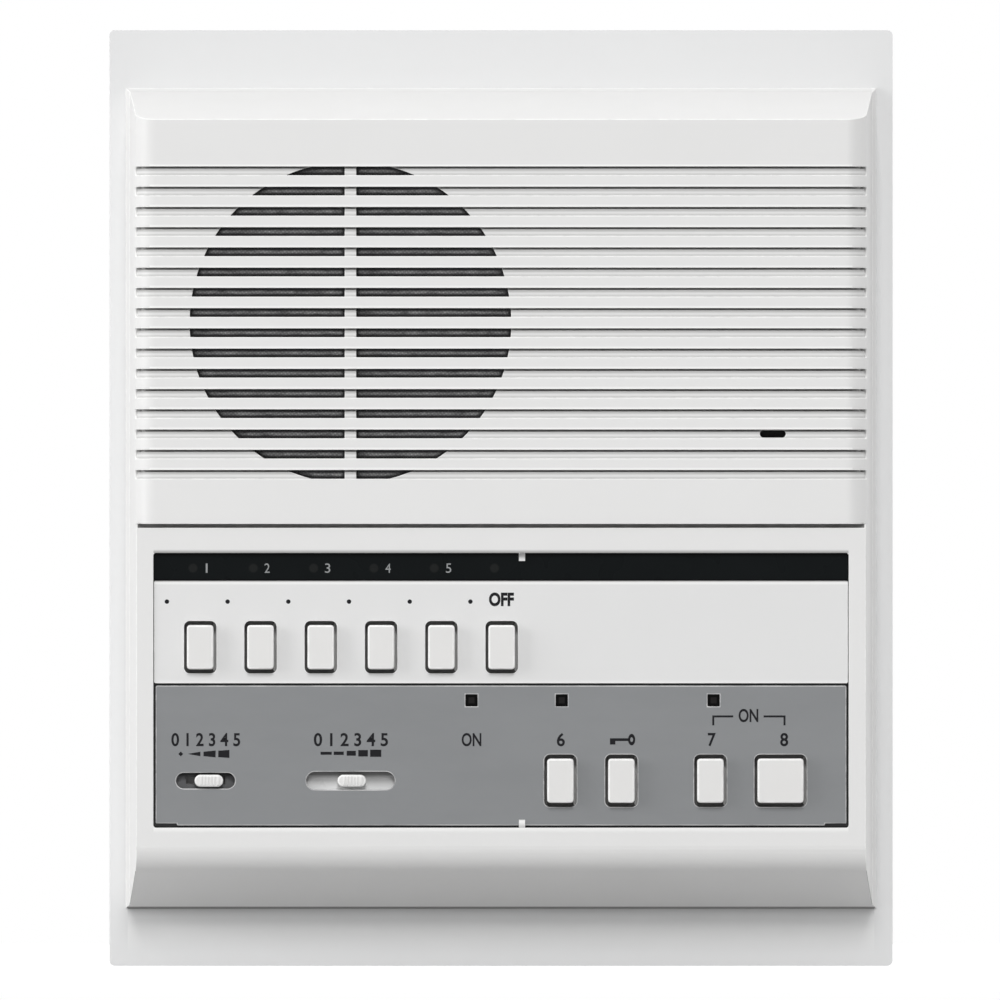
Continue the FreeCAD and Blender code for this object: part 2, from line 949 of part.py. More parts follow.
def selector_switch_bank():
    low = latch_low - switch_end
    high = latch_high + latch_travel + switch_end
    height = key_height + 2 * switch_margin
    solid = block((low, high), (switch_front, board_front), span(key_row, height))
    track = block(
        (latch_low - latch_gap, latch_high + latch_travel + latch_gap),
        (latch_front - latch_gap, latch_back + latch_gap),
        span(key_row, latch_height + 2 * latch_gap),
    )
    return solid.cut(plunger_wells(selector_keys, key_row) + [track])


def latch_bar():
    solid = block((latch_low, latch_high), (latch_front, latch_back), span(key_row, latch_height))
    windows = []
    for _, x, _ in selector_keys:
        # each stem stays clear of the bar over the bar's whole travel
        low = x - plunger_size / 2 - latch_gap - latch_travel
        high = x + plunger_size / 2 + latch_gap
        through = (latch_front - overrun, latch_back + overrun)
        windows.append(block((low, high), through, span(key_row, plunger_size + 2 * latch_gap)))
    return solid.cut(windows)


def function_switches():
    bodies = []
    height = key_height + 2 * switch_margin
    for key in function_keys:
        _, x, width = key
        body = block(span(x, width + 2 * switch_margin), (switch_front, board_front), span(function_row, height))
        bodies.append(body.cut(plunger_wells([key], function_row)))
    return together(bodies)


# ---------------------------------------------------------------- sliders

knob_face = panel_face - knob_proud
lever_front = knob_face + knob_skin
slider_well = board_front - switch_floor
liner_bottom = carrier_back - liner_floor


def slider_body(slot_x, travel):
    length = lever_width + 2 * (travel + slider_end)
    height = lever_thickness + 2 * slider_rail
    front = switch_front + slider_drop
    solid = block(span(slot_x, length), (front, board_front), span(function_row, height))
    track = block(
        span(slot_x, lever_width + 2 * (travel + slider_clearance)),
        (front - overrun, slider_well),
        span(function_row, lever_thickness + 2 * plunger_clearance),
    )
    return solid.cut(track)


def slider_bodies():
    return together([slider_body(music_slot_x, music_travel), slider_body(voice_slot_x, voice_travel)])


def music_slot_liner():
    rim = 2 * liner_rim
    body = (panel_back, carrier_back)
    solid = pill(music_slot_length + rim, music_slot_height + rim, body, music_slot_x, function_row)
    dish = (panel_back - overrun, liner_bottom)
    cuts = [pill(music_slot_length, music_slot_height, dish, music_slot_x, function_row)]
    cuts.append(lever_opening(music_slot_x, music_travel, (panel_back, carrier_back + overrun)))
    return solid.cut(cuts)


def lever_socket(x, y):
    # hole in a knob or shutter that the metal lever is pushed into
    width = lever_width + 2 * screw_clearance
    height = lever_thickness + 2 * screw_clearance
    return block(span(x, width), y, span(function_row, height))


def slider_knob(x, bottom):
    knob = pill(knob_length, knob_height, (knob_face, bottom), x, function_row)
    front_edges = [edge for edge in knob.Edges if edge.BoundBox.YMax < knob_face + knob_edge / 2]
    cuts = [lever_socket(x, (lever_front, bottom + overrun))]
    for index in range(grip_count):
        place = x + grip_pitch * (index - (grip_count - 1) / 2)
        groove = (knob_face - overrun, knob_face + grip_depth)
        cuts.append(block(span(place, grip_width), groove, span(function_row, grip_height)))
    return knob.makeFillet(knob_edge, front_edges).cut(cuts)


def slider_lever(x):
    end = slider_well - lever_clearance
    return block(span(x, lever_width), (lever_front, end), span(function_row, lever_thickness))


def music_slider_lever():
    # the flag hides the opening that the lever moves in
    front = pocket_back + slider_clearance
    length = lever_width + 2 * (2 * music_travel + slider_clearance + flag_cover)
    height = lever_thickness + 2 * (slider_clearance + flag_cover)
    flag = block(span(music_knob_x, length), (front, front + flag_thickness), span(function_row, height))
    return slider_lever(music_knob_x).fuse(flag).removeSplitter()


def voice_slider_shutter():
    body = (shutter_front, shutter_back)
    strip = block(span(voice_knob_x, shutter_length), body, span(function_row, shutter_height))
    return strip.cut(lever_socket(voice_knob_x, (shutter_front - overrun, shutter_back + overrun)))


# ---------------------------------------------------------------- lamps

holder_front = carrier_back + holder_gap
lens_lamp_front = board_front - lens_lamp_height


def round_lamp(x, z, front, back):
    body = rod(lamp_radius, (front + lamp_radius, back), x, z)
    dome = Part.makeSphere(lamp_radius, vector(x, front + lamp_radius, z))
    collar = rod(lamp_radius + lamp_collar, (back - collar_thickness, back), x, z)
    return body.fuse([dome, collar]).removeSplitter()


def indicator_lamps():
    lamps = [round_lamp(x, lamp_row, panel_back + stop_clearance, holder_front) for x in lamp_xs]
    lamps += [round_lamp(x, lens_row, lens_lamp_front, board_front) for x in lens_xs]
    return together(lamps)


def lamp_holder():
    x = (lamp_xs[0] - holder_end, lamp_xs[-1] + holder_end)
    return block(x, (holder_front, board_front), span(lamp_row, holder_height))


def indicator_lenses():
    body = (panel_face, lens_lamp_front - lens_lamp_gap)
    return together([block(span(x, lens_size), body, span(lens_row, lens_size)) for x in lens_xs])


# ---------------------------------------------------------------- main board

transformer_x = board_width / 2 - transformer_inset


def main_board():
    through = (board_front - overrun, board_back + overrun)
    middle = (board_top + board_bottom) / 2
    board = slab(board_width, board_top - board_bottom, board_corner, (board_front, board_back), 0, middle)
    return board.cut([rod(screw_radius + board_hole_clearance, through, x, z) for x, z in posts])


def board_chips():
    # as many packages as fit in the row beside the transformer
    first = chip_inset - board_width / 2
    pitch = chip_length + chip_gap
    count = int((transformer_x - core_width / 2 - first) / pitch)
    chips = []
    for index in range(count):
        x = first + chip_length / 2 + pitch * index
        package = (board_back + chip_standoff, board_back + chip_height)
        body = block(span(x, chip_length), package, span(chip_row, chip_width))
        legs = []
        for leg in range(legs_per_side):
            place = x + leg_pitch * (leg - (legs_per_side - 1) / 2)
            for side in sides:
                inner = chip_row + side * (chip_width / 2 - leg_inset)
                outer = chip_row + side * (chip_width / 2 + leg_reach)
                rise = (board_back, board_back + leg_height)
                legs.append(block(span(place, leg_width), rise, sorted((inner, outer))))
        chips.append(body.fuse(legs))
    return together(chips)


def board_capacitors():
    cans = []
    first = can_inset - board_width / 2 + can_radius
    groove = (board_back + can_groove_height, board_back + can_groove_height + can_groove_width)
    for index in range(can_count):
        x = first + (2 * can_radius + can_gap) * index
        can = rod(can_radius, (board_back, board_back + can_height), x, can_row)
        ring = rod(can_radius + overrun, groove, x, can_row)
        cans.append(can.cut(ring.cut(rod(can_radius - can_groove_depth, groove, x, can_row))))
    return together(cans)


def audio_transformer():
    top = board_back + transformer_height
    core = block(span(transformer_x, core_width), (board_back + core_gap, top), span(can_row, core_thickness))
    bobbin = block(span(transformer_x, bobbin_width), (board_back, top - core_gap), span(can_row, bobbin_length))
    return core.fuse(bobbin).removeSplitter()


# ---------------------------------------------------------------- speaker

surround_outer = speaker_radius - surround_inset
cone_front_radius = surround_outer - surround_width
frame_ledge = surround_outer - ledge_width
basket_back_radius = magnet_radius + basket_seat
cone_front = rim_front + ledge_drop - paper
cone_back = cone_front + cone_depth


def spun(profile):
    return turned(profile, speaker_x, grille_middle)


def speaker_cloth():
    return rod(speaker_radius - cloth_inset, (grille_back, cloth_back), speaker_x, grille_middle)


def speaker_gasket():
    outer = speaker_radius - gasket_inset
    inner = outer - gasket_width
    return spun([(inner, cloth_back), (outer, cloth_back), (outer, rim_front), (inner, rim_front)])


def speaker_basket():
    inside = basket_back - basket_sheet
    profile = [
        (frame_ledge, rim_front + ledge_drop),
        (surround_outer + ledge_fit, rim_front + ledge_drop),
        (surround_outer + ledge_fit, rim_front),
        (speaker_radius, rim_front),
        (speaker_radius, rim_back),
        (frame_ledge + basket_shoulder, rim_back),
        (basket_back_radius, inside),
        (basket_back_radius, basket_back),
        (magnet_bore, basket_back),
        (magnet_bore, inside),
        (basket_back_radius - basket_sheet, inside),
        (frame_ledge, rim_back),
    ]
    tag_low = grille_middle - basket_back_radius - tag_reach
    tag_high = grille_middle - basket_back_radius + tag_root
    tag = block(span(speaker_x, tag_width), (inside, basket_back), (tag_low, tag_high))
    holes = []
    ring = (frame_ledge + basket_back_radius) / 2
    depth = (rim_back + basket_hole_front, basket_back - basket_hole_back)
    for index in range(basket_hole_count):
        angle = 2 * math.pi * (index + 0.5) / basket_hole_count
        x = speaker_x + ring * math.cos(angle)
        z = grille_middle + ring * math.sin(angle)
        holes.append(rod(basket_hole_radius, depth, x, z))
    return spun(profile).fuse(tag).removeSplitter().cut(holes)


def speaker_surround():
    low = cone_front_radius
    inner = low + surround_land
    roll = (inner + frame_ledge) / 2
    front = [
        (low, cone_front),
        (inner, cone_front),
        (roll, cone_front - surround_roll),
        (frame_ledge, cone_front),
        (surround_outer, cone_front),
    ]
    back = [(radius, y + paper) for radius, y in front]
    return spun(front + back[::-1])


def speaker_cone():
    return spun([
        (cone_front_radius, cone_front),
        (cone_front_radius, cone_front + paper),
        (cone_back_radius + paper, cone_back),
        (cone_back_radius - cone_neck, cone_back),
        (cone_back_radius - cone_neck, cone_back - paper),
        (cone_back_radius, cone_back - paper),
    ])


def speaker_dust_cap():
    # shallow dome over the middle of the cone
    base = cone_back - paper
    radius = cone_back_radius - cap_fit
    outer = []
    inner = []
    for index in range(cap_steps):
        angle = math.pi / 2 * index / cap_steps
        outer.append((radius * math.cos(angle), base - cap_rise * math.sin(angle)))
        inner.append(((radius - paper) * math.cos(angle), base - (cap_rise - paper) * math.sin(angle)))
    outer.append((0, base - cap_rise))
    inner.append((0, base - cap_rise + paper))
    return spun(outer + inner[::-1])


def speaker_magnet():
    back = basket_back + magnet_height
    return spun([(magnet_bore, basket_back), (magnet_radius, basket_back), (magnet_radius, back), (magnet_bore, back)])


def speaker_yoke():
    front = basket_back + magnet_height
    back = front + yoke_thickness
    pole_front = cone_back + pole_clearance
    return spun([
        (0, pole_front),
        (pole_radius, pole_front),
        (pole_radius, front),
        (magnet_radius - yoke_inset, front),
        (magnet_radius - yoke_inset, back),
        (0, back),
    ])


def speaker_clamps():
    plates = []
    toe_start = boss_radius + boss_gap
    reach = toe_start + clamp_overlap
    top = boss_top + clamp_thickness
    for x, z in speaker_bosses:
        angle = math.degrees(math.atan2(z - grille_middle, speaker_x - x))
        plate = block((reach - clamp_length, reach), (boss_top, top), span(0, clamp_width))
        toe = block((toe_start, reach), (rim_back, top), span(0, clamp_width))
        hole = rod(screw_radius + screw_clearance, (boss_top - overrun, top + overrun), 0, 0)
        plate = plate.fuse(toe).cut(hole)
        plate.rotate(vector(0, 0, 0), vector(0, 1, 0), angle)
        plate.translate(vector(x, 0, z))
        plates.append(plate)
    return together(plates)


# ---------------------------------------------------------------- microphone

capsule_front = grille_back + boot_front
capsule_back = capsule_front + capsule_height


def microphone_boot():
    boot = rod(boot_radius - boot_fit, (grille_back, capsule_back), microphone_x, microphone_z)
    pocket = rod(capsule_radius, (capsule_front, capsule_back + overrun), microphone_x, microphone_z)
    sound_hole = rod(microphone_slot_width / 2, (grille_back - overrun, capsule_back), microphone_x, microphone_z)
    return boot.cut([pocket, sound_hole])


def microphone_capsule():
    can = rod(capsule_radius, (capsule_front, capsule_back), microphone_x, microphone_z)
    port = (capsule_front - overrun, capsule_front + capsule_port_depth)
    return can.cut(rod(capsule_port_radius, port, microphone_x, microphone_z))


# ---------------------------------------------------------------- rear cover and terminals

terminal_length = terminal_count * terminal_pitch + terminal_wall
terminal_z = terminal_lift - cover_half_z
terminal_top = shelf_outer + terminal_base
terminal_xs = [terminal_pitch * (index - (terminal_count - 1) / 2) for index in range(terminal_count)]
cover_seat = plate_front - cover_flange_thickness


def cover_shell(inset, corner, front, shelf, back):
    width = 2 * (cover_half_x - inset)
    low = shelf_edge + inset
    high = cover_half_z - inset
    lower = slab(width, 2 * high, corner, (front, shelf), 0, 0)
    upper = slab(width, high - low, corner, (front, back), 0, (low + high) / 2)
    return lower.fuse(upper)


def rear_cover():
    shell = cover_shell(0, cover_corner, cover_seat, shelf_outer, cover_outer)
    flange = slab(
        2 * (cover_half_x + cover_flange),
        2 * (cover_half_z + cover_flange),
        cover_corner + cover_flange,
        (cover_seat, plate_front),
        0,
        0,
    )
    cuts = [cover_shell(cover_wall, cover_inner_corner, cover_seat - overrun, shelf_inner, cover_inner)]
    for x, z in cover_screws:
        hole = (cover_seat - overrun, plate_front + overrun)
        cuts.append(rod(screw_radius + cover_hole_clearance, hole, x, z))
    cuts.append(
        block(
            span(0, terminal_length - 2 * pin_slot_inset),
            (shelf_inner - overrun, shelf_outer + overrun),
            span(terminal_z, pin_size + 2 * pin_clearance),
        )
    )
    for index in range(vent_count):
        z = grille_middle + vent_pitch * (index - (vent_count - 1) / 2)
        vent = (cover_inner - overrun, cover_outer + overrun)
        cuts.append(pill(vent_length, vent_height, vent, speaker_x, z))
    return shell.fuse(flange).cut(cuts).removeSplitter()


def terminal_block():
    adds = []
    for index in range(terminal_count + 1):
        x = terminal_pitch * (index - terminal_count / 2)
        wall = (terminal_top, terminal_top + terminal_rise)
        adds.append(block(span(x, terminal_wall), wall, span(terminal_z, terminal_width)))
    for x in terminal_xs[1:-1]:
        pin = (board_back, shelf_outer + pin_root)
        adds.append(block(span(x, pin_size), pin, span(terminal_z, pin_size)))
    base = block(span(0, terminal_length), (shelf_outer, terminal_top), span(terminal_z, terminal_width))
    hole = (shelf_outer + terminal_floor, terminal_top + overrun)
    holes = [rod(screw_radius + screw_clearance, hole, x, terminal_z) for x in terminal_xs]
    return base.fuse(adds).cut(holes).removeSplitter()


def terminal_screws():
    screws = []
    tip = shelf_outer + terminal_floor + terminal_screw_gap
    face = terminal_top + terminal_screw_head
    for x in terminal_xs:
        shank = rod(screw_radius, (tip, terminal_top), x, terminal_z)
        head = rod(terminal_screw_radius, (terminal_top, face), x, terminal_z)
        slot = block(
            span(x, 2 * (terminal_screw_radius + overrun)),
            (face - terminal_slot_depth, face + overrun),
            span(terminal_z, terminal_slot_width),
        )
        screws.append(shank.fuse(head).cut(slot))
    return together(screws)


# ---------------------------------------------------------------- fasteners and leads

def tapping_screws():
    seats = [(x, z, boss_top + clamp_thickness) for x, z in speaker_bosses]
    seats += [(x, z, tab_seat + tab_wall) for x, z in carrier_tabs]
    seats += [(x, z, board_back) for x, z in posts]
    return together([screw(x, z, seat, screw_length, -1) for x, z, seat in seats])


def rear_cover_screws():
    return together([screw(x, z, cover_seat, cover_screw_length, 1) for x, z in cover_screws])


def speaker_leads():
    # from the speaker's tag strip, behind the board, to two pads in the board's back
    leads = []
    start_z = grille_middle - basket_back_radius - tag_reach + lead_margin
    land_z = board_top - lead_landing
    run = basket_back + lead_rise
    for side in sides:
        shift = side * lead_spacing / 2
        x = speaker_x + shift
        out_x = x + lead_run
        turn_z = board_top + lead_turn_rise - shift
        points = [
            vector(x, basket_back, start_z),
            vector(x, run, start_z),
            vector(x, run, turn_z),
            vector(out_x, run, turn_z),
            vector(out_x, run, land_z),
            vector(out_x, board_back, land_z),
        ]
        leads.append(lead(points, lead_radius, lead_bend))
    return together(leads)


# ---------------------------------------------------------------- writing the parts

shapes = {
    "mounting_plate": mounting_plate(),
    "front_case": front_case(),
    "indicator_window": indicator_window(),
    "directory_plate": directory_plate(),
    "legend_plate": legend_plate(),
    "panel_carrier": panel_carrier(),
    "selector_switch_bank": selector_switch_bank(),
    "latch_bar": latch_bar(),
    "function_switches": function_switches(),
    "slider_bodies": slider_bodies(),
    "music_slot_liner": music_slot_liner(),
    "music_slider_knob": slider_knob(music_knob_x, liner_bottom - slider_clearance),
    "music_slider_lever": music_slider_lever(),
    "voice_slider_knob": slider_knob(voice_knob_x, shutter_front),
    "voice_slider_lever": slider_lever(voice_knob_x),
    "voice_slider_shutter": voice_slider_shutter(),
    "indicator_lamps": indicator_lamps(),
    "lamp_holder": lamp_holder(),
    "indicator_lenses": indicator_lenses(),
    "main_board": main_board(),
    "board_chips": board_chips(),
    "board_capacitors": board_capacitors(),
    "audio_transformer": audio_transformer(),
    "speaker_cloth": speaker_cloth(),
    "speaker_gasket": speaker_gasket(),
    "speaker_basket": speaker_basket(),
    "speaker_surround": speaker_surround(),
    "speaker_cone": speaker_cone(),
    "speaker_dust_cap": speaker_dust_cap(),
    "speaker_magnet": speaker_magnet(),
    "speaker_yoke": speaker_yoke(),
    "speaker_clamps": speaker_clamps(),
    "speaker_leads": speaker_leads(),
    "microphone_boot": microphone_boot(),
    "microphone_capsule": microphone_capsule(),
    "rear_cover": rear_cover(),
    "terminal_block": terminal_block(),
    "terminal_screws": terminal_screws(),
    "tapping_screws": tapping_screws(),
    "rear_cover_screws": rear_cover_screws(),
}
for row, keys in ((key_row, selector_keys), (function_row, function_keys)):
    for name, x, width in keys:
        shapes[name] = key_cap(x, row, width)
        shapes[name.replace("button", "plunger")] = key_plunger(x, row)

os.makedirs("parts", exist_ok=True)
for name, shape in shapes.items():
    assert shape.isValid(), name
    shape.exportStep("parts/%s.step" % name)
    print(name, len(shape.Solids), round(shape.Volume, 1))
print(len(shapes), "parts")
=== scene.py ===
import json
import math
import bmesh
import bpy
from mathutils import Matrix, Vector

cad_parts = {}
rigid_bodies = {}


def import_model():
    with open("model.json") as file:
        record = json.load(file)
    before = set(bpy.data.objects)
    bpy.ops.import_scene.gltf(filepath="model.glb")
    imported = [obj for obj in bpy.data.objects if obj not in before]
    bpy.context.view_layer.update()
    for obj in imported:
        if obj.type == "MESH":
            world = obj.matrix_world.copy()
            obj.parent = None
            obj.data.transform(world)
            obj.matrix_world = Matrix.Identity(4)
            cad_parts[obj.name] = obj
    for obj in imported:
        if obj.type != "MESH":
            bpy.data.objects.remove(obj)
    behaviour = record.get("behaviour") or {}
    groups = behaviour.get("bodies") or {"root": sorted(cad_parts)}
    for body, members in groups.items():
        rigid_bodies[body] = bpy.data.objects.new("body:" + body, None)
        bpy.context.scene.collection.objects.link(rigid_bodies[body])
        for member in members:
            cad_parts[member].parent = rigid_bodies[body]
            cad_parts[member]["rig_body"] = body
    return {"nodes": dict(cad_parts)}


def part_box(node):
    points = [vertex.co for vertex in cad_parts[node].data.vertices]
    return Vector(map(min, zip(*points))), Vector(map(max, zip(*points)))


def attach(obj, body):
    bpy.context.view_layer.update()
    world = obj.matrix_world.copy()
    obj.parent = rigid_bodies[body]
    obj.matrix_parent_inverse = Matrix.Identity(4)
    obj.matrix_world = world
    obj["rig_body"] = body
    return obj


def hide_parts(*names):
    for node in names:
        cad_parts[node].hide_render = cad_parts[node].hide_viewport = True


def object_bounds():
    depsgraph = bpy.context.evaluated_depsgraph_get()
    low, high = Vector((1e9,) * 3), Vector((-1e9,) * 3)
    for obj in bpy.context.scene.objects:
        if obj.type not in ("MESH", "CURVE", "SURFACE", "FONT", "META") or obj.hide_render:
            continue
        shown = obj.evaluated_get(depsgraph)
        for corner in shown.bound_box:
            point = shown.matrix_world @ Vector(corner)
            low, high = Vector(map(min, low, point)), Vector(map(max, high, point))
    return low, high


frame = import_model()
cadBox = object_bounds()
nodes = frame["nodes"]
mm = 0.001
print("frame loaded:", len(nodes), "nodes")

# rows of the grille, shared by the case's painted shade and highlights and the cloth's painted light behind
# it; lengths here are in millimetres
louvres = {"top": 74.2, "pitch": 4.53, "gap": 1.95, "rows": 16.0, "front": -25.8, "half": 81.6}


# shader groups: each is built once and placed in every material that needs it

def startGroup(name, inputs, outputs):
    # every group reads a place; a tuple makes a colour input and a number a plain one
    group = bpy.data.node_groups.new(name, "ShaderNodeTree")
    group.interface.new_socket("Vector", in_out="INPUT", socket_type="NodeSocketVector")
    for label, value in inputs.items():
        kind = "NodeSocketColor" if isinstance(value, tuple) else "NodeSocketFloat"
        socket = group.interface.new_socket(label, in_out="INPUT", socket_type=kind)
        socket.default_value = value
    for label, kind in outputs.items():
        group.interface.new_socket(label, in_out="OUTPUT", socket_type="NodeSocket" + kind)
    return group, group.nodes.new("NodeGroupInput").outputs


def endGroup(group, **results):
    end = group.nodes.new("NodeGroupOutput")
    for label, value in results.items():
        group.links.new(value, end.inputs[label])
    return group


def fillSocket(tree, socket, value):
    # another node's output is linked, anything else is written
    if isinstance(value, bpy.types.NodeSocket):
        tree.links.new(value, socket)
    else:
        socket.default_value = value


def addNode(tree, kind, numbered=(), **settings):
    # settings are properties, or inputs by name; numbered are inputs by their place
    node = tree.nodes.new("ShaderNode" + kind)
    for key, value in settings.items():
        if hasattr(node, key):
            setattr(node, key, value)
    for key, value in settings.items():
        if not hasattr(node, key):
            fillSocket(tree, node.inputs[key.replace("_", " ")], value)
    for index, value in numbered:
        fillSocket(tree, node.inputs[index], value)
    return node


def mixColours(tree, factor, low, high, blend="MIX"):
    pair = [(*tone, 1) if isinstance(tone, tuple) else tone for tone in (low, high)]
    inputs = [(0, factor), (6, pair[0]), (7, pair[1])]
    return addNode(tree, "Mix", inputs, data_type="RGBA", blend_type=blend).outputs[2]


def mathNode(tree, operation, *values):
    return addNode(tree, "Math", enumerate(values), operation=operation).outputs[0]


def multiply(tree, first, *others):
    for other in others:
        first = mathNode(tree, "MULTIPLY", first, other)
    return first


def rampNode(tree, value, span, result=(0.0, 1.0), smooth=False):
    # the span of the value is brought to the result and held at both ends
    kind = "SMOOTHSTEP" if smooth else "LINEAR"
    return addNode(tree, "MapRange", interpolation_type=kind, Value=value, From_Min=span[0],
                   From_Max=span[1], To_Min=result[0], To_Max=result[1]).outputs[0]


def noiseNode(tree, vector, scale, detail, roughness=0.5):
    node = addNode(tree, "TexNoise", Vector=vector, Scale=scale, Detail=detail, Roughness=roughness)
    return node.outputs["Fac"]


def splitVector(tree, vector):
    return addNode(tree, "SeparateXYZ", Vector=vector).outputs


def addBump(tree, height, strength, reach):
    # the height becomes the finish's bump; reach is in millimetres
    bump = addNode(tree, "Bump", Height=height, Strength=strength, Distance=reach * mm)
    tree.links.new(bump.outputs["Normal"], tree.nodes["Principled BSDF"].inputs["Normal"])


def buildColourDrift():
    # slow cloud of lighter and darker tone over a surface
    group, given = startGroup(
        "colourDrift", {"Colour": (1, 1, 1, 1), "Drift": 0.03, "Size": 30.0}, {"Colour": "Color"})
    scale = mathNode(group, "DIVIDE", 1 / mm, given["Size"])
    cloud = noiseNode(group, given["Vector"], scale, detail=3.0, roughness=0.55)
    change = mathNode(group, "MULTIPLY_ADD", mathNode(group, "SUBTRACT", cloud, 0.5), given["Drift"], 1.0)
    tint = addNode(group, "CombineColor", Red=change, Green=change, Blue=change)
    return endGroup(group, Colour=mixColours(group, 1.0, given["Colour"], tint.outputs[0], "MULTIPLY"))


def buildSurfaceGrain():
    # fine moulded or painted grain, as a height
    waveShare = 0.6
    group, given = startGroup(
        "surfaceGrain", {"Grain": 0.4, "Waviness": 8.0}, {"Height": "Float", "Cloud": "Float"})
    fine = mathNode(group, "DIVIDE", 1 / mm, given["Grain"])
    broad = mathNode(group, "DIVIDE", 1 / mm, given["Waviness"])
    grain = noiseNode(group, given["Vector"], fine, detail=2.0, roughness=0.6)
    waves = noiseNode(group, given["Vector"], broad, detail=2.0)
    return endGroup(group, Height=mathNode(group, "MULTIPLY_ADD", waves, waveShare, grain), Cloud=waves)


def buildEdgeWearAndSheen():
    # broken mask along the softened edges, from the edgeBand face attribute; it is wear, and on the white and
    # grey sheets, case and keys its lighter tone is also a painted highlight on the rims
    patchFrom, patchTo = 0.25, 0.6
    group, given = startGroup("edgeWear", {"Amount": 0.5, "Patch": 3.0}, {"Mask": "Float"})
    band = addNode(group, "Attribute", attribute_name="edgeBand")
    scale = mathNode(group, "DIVIDE", 1 / mm, given["Patch"])
    noise = noiseNode(group, given["Vector"], scale, detail=4.0, roughness=0.65)
    broken = rampNode(group, noise, (patchFrom, patchTo))
    return endGroup(group, Mask=multiply(group, band.outputs["Fac"], broken, given["Amount"]))


def buildDustFilm():
    # thin dust that settles on what faces up
    leastUp = 0.25
    cloudScale = 0.14 / mm
    group, given = startGroup("dustFilm", {"Amount": 0.1}, {"Mask": "Float"})
    facing = addNode(group, "NewGeometry")
    up = rampNode(group, splitVector(group, facing.outputs["Normal"])["Z"], (leastUp, 1.0))
    cloud = noiseNode(group, given["Vector"], cloudScale, detail=5.0)
    return endGroup(group, Mask=multiply(group, up, cloud, given["Amount"]))


def buildLouvreShade():
    # painted shade on the louvres' floors, deep under each bar and light at the foot of the next one;
    # Rim is a painted highlight along the lower edge of each bar
    reach = {"under": (0.45, 1.4), "foot": (0.1, 0.75), "rim": (0.2, 0.75), "firstRim": -0.3}
    group, given = startGroup("louvreShade", {"Under": 0.6, "Foot": 0.3}, {"Mask": "Float", "Rim": "Float"})
    place = splitVector(group, given["Vector"])
    fromTop = mathNode(group, "MULTIPLY_ADD", place["Z"], -1 / mm, louvres["top"])
    rows = mathNode(group, "DIVIDE", fromTop, louvres["pitch"])
    below = mathNode(group, "MULTIPLY", mathNode(group, "FRACT", rows), louvres["pitch"])
    above = mathNode(group, "SUBTRACT", louvres["gap"], below)
    toRim = mathNode(group, "SUBTRACT", louvres["pitch"], below)
    depth = mathNode(group, "DIVIDE", place["Y"], mm)
    aside = mathNode(group, "ABSOLUTE", mathNode(group, "DIVIDE", place["X"], mm))
    under, foot, rim = [
        rampNode(group, away, reach[key], (1.0, 0.0), smooth=True)
        for away, key in ((below, "under"), (above, "foot"), (toRim, "rim"))
    ]

    def less(first, second):
        return mathNode(group, "LESS_THAN", first, second)

    mask = mathNode(group, "MAXIMUM", multiply(group, under, given["Under"]),
                    multiply(group, foot, given["Foot"]))
    within = less(aside, louvres["half"])
    mask = multiply(group, mask, within, less(0.0, above), less(0.0, rows), less(rows, louvres["rows"]),
                    less(louvres["front"], depth))
    rim = multiply(group, rim, within, less(reach["firstRim"], rows), less(rows, louvres["rows"] - 1.0),
                   less(depth, louvres["front"]))
    return endGroup(group, Mask=mask, Rim=rim)


def buildEdgeShade():
    # mask for painted shade and painted highlight bands: soft band above and below a level line on the front,
    # as far as half to both sides
    frontFrom = -1.0 * mm
    onLine = -0.001
    group, given = startGroup(
        "edgeShade",
        {"Line": 0.0, "Half": 80.0, "Above": 0.5, "AboveAmount": 0.0, "Below": 0.5, "BelowAmount": 0.0},
        {"Mask": "Float"})
    place = splitVector(group, given["Vector"])
    up = mathNode(group, "SUBTRACT", mathNode(group, "DIVIDE", place["Z"], mm), given["Line"])
    aside = mathNode(group, "ABSOLUTE", mathNode(group, "DIVIDE", place["X"], mm))
    masks = []
    for side, sign in (("Above", 1.0), ("Below", -1.0)):
        away = mathNode(group, "MULTIPLY", up, sign)
        fade = rampNode(group, away, (0.0, given[side]), (1.0, 0.0), smooth=True)
        beyond = mathNode(group, "GREATER_THAN", away, onLine)
        masks.append(multiply(group, fade, beyond, given[side + "Amount"]))
    between = mathNode(group, "LESS_THAN", aside, given["Half"])
    inFront = mathNode(group, "LESS_THAN", place["Y"], frontFrom)
    return endGroup(group, Mask=multiply(group, mathNode(group, "MAXIMUM", *masks), between, inFront))


def buildPaintedShadeLine():
    # painted shade: a broken dark line along the marked faces, standing in for the shade deep in the seam and
    # where the case's foot meets the plate
    patchScale = 0.3 / mm
    leastDirt, unevenness = 0.8, 0.3
    group, given = startGroup("grimeLine", {"Amount": 0.8}, {"Mask": "Float"})
    band = addNode(group, "Attribute", attribute_name="grimeBand")
    noise = noiseNode(group, given["Vector"], patchScale, detail=3.0)
    broken = mathNode(group, "MULTIPLY_ADD", noise, unevenness, leastDirt)
    return endGroup(group, Mask=multiply(group, band.outputs["Fac"], broken, given["Amount"]))


groups = {
    "louvre": buildLouvreShade(),
    "edge": buildEdgeShade(),
    "grime": buildPaintedShadeLine(),
    "drift": buildColourDrift(),
    "grain": buildSurfaceGrain(),
    "wear": buildEdgeWearAndSheen(),
    "dust": buildDustFilm(),
}


def addGroup(tree, key, vector, **values):
    node = tree.nodes.new("ShaderNodeGroup")
    node.node_tree = groups[key]
    for label, value in {"Vector": vector, **values}.items():
        fillSocket(tree, node.inputs[label], value)
    return node.outputs


# finishes

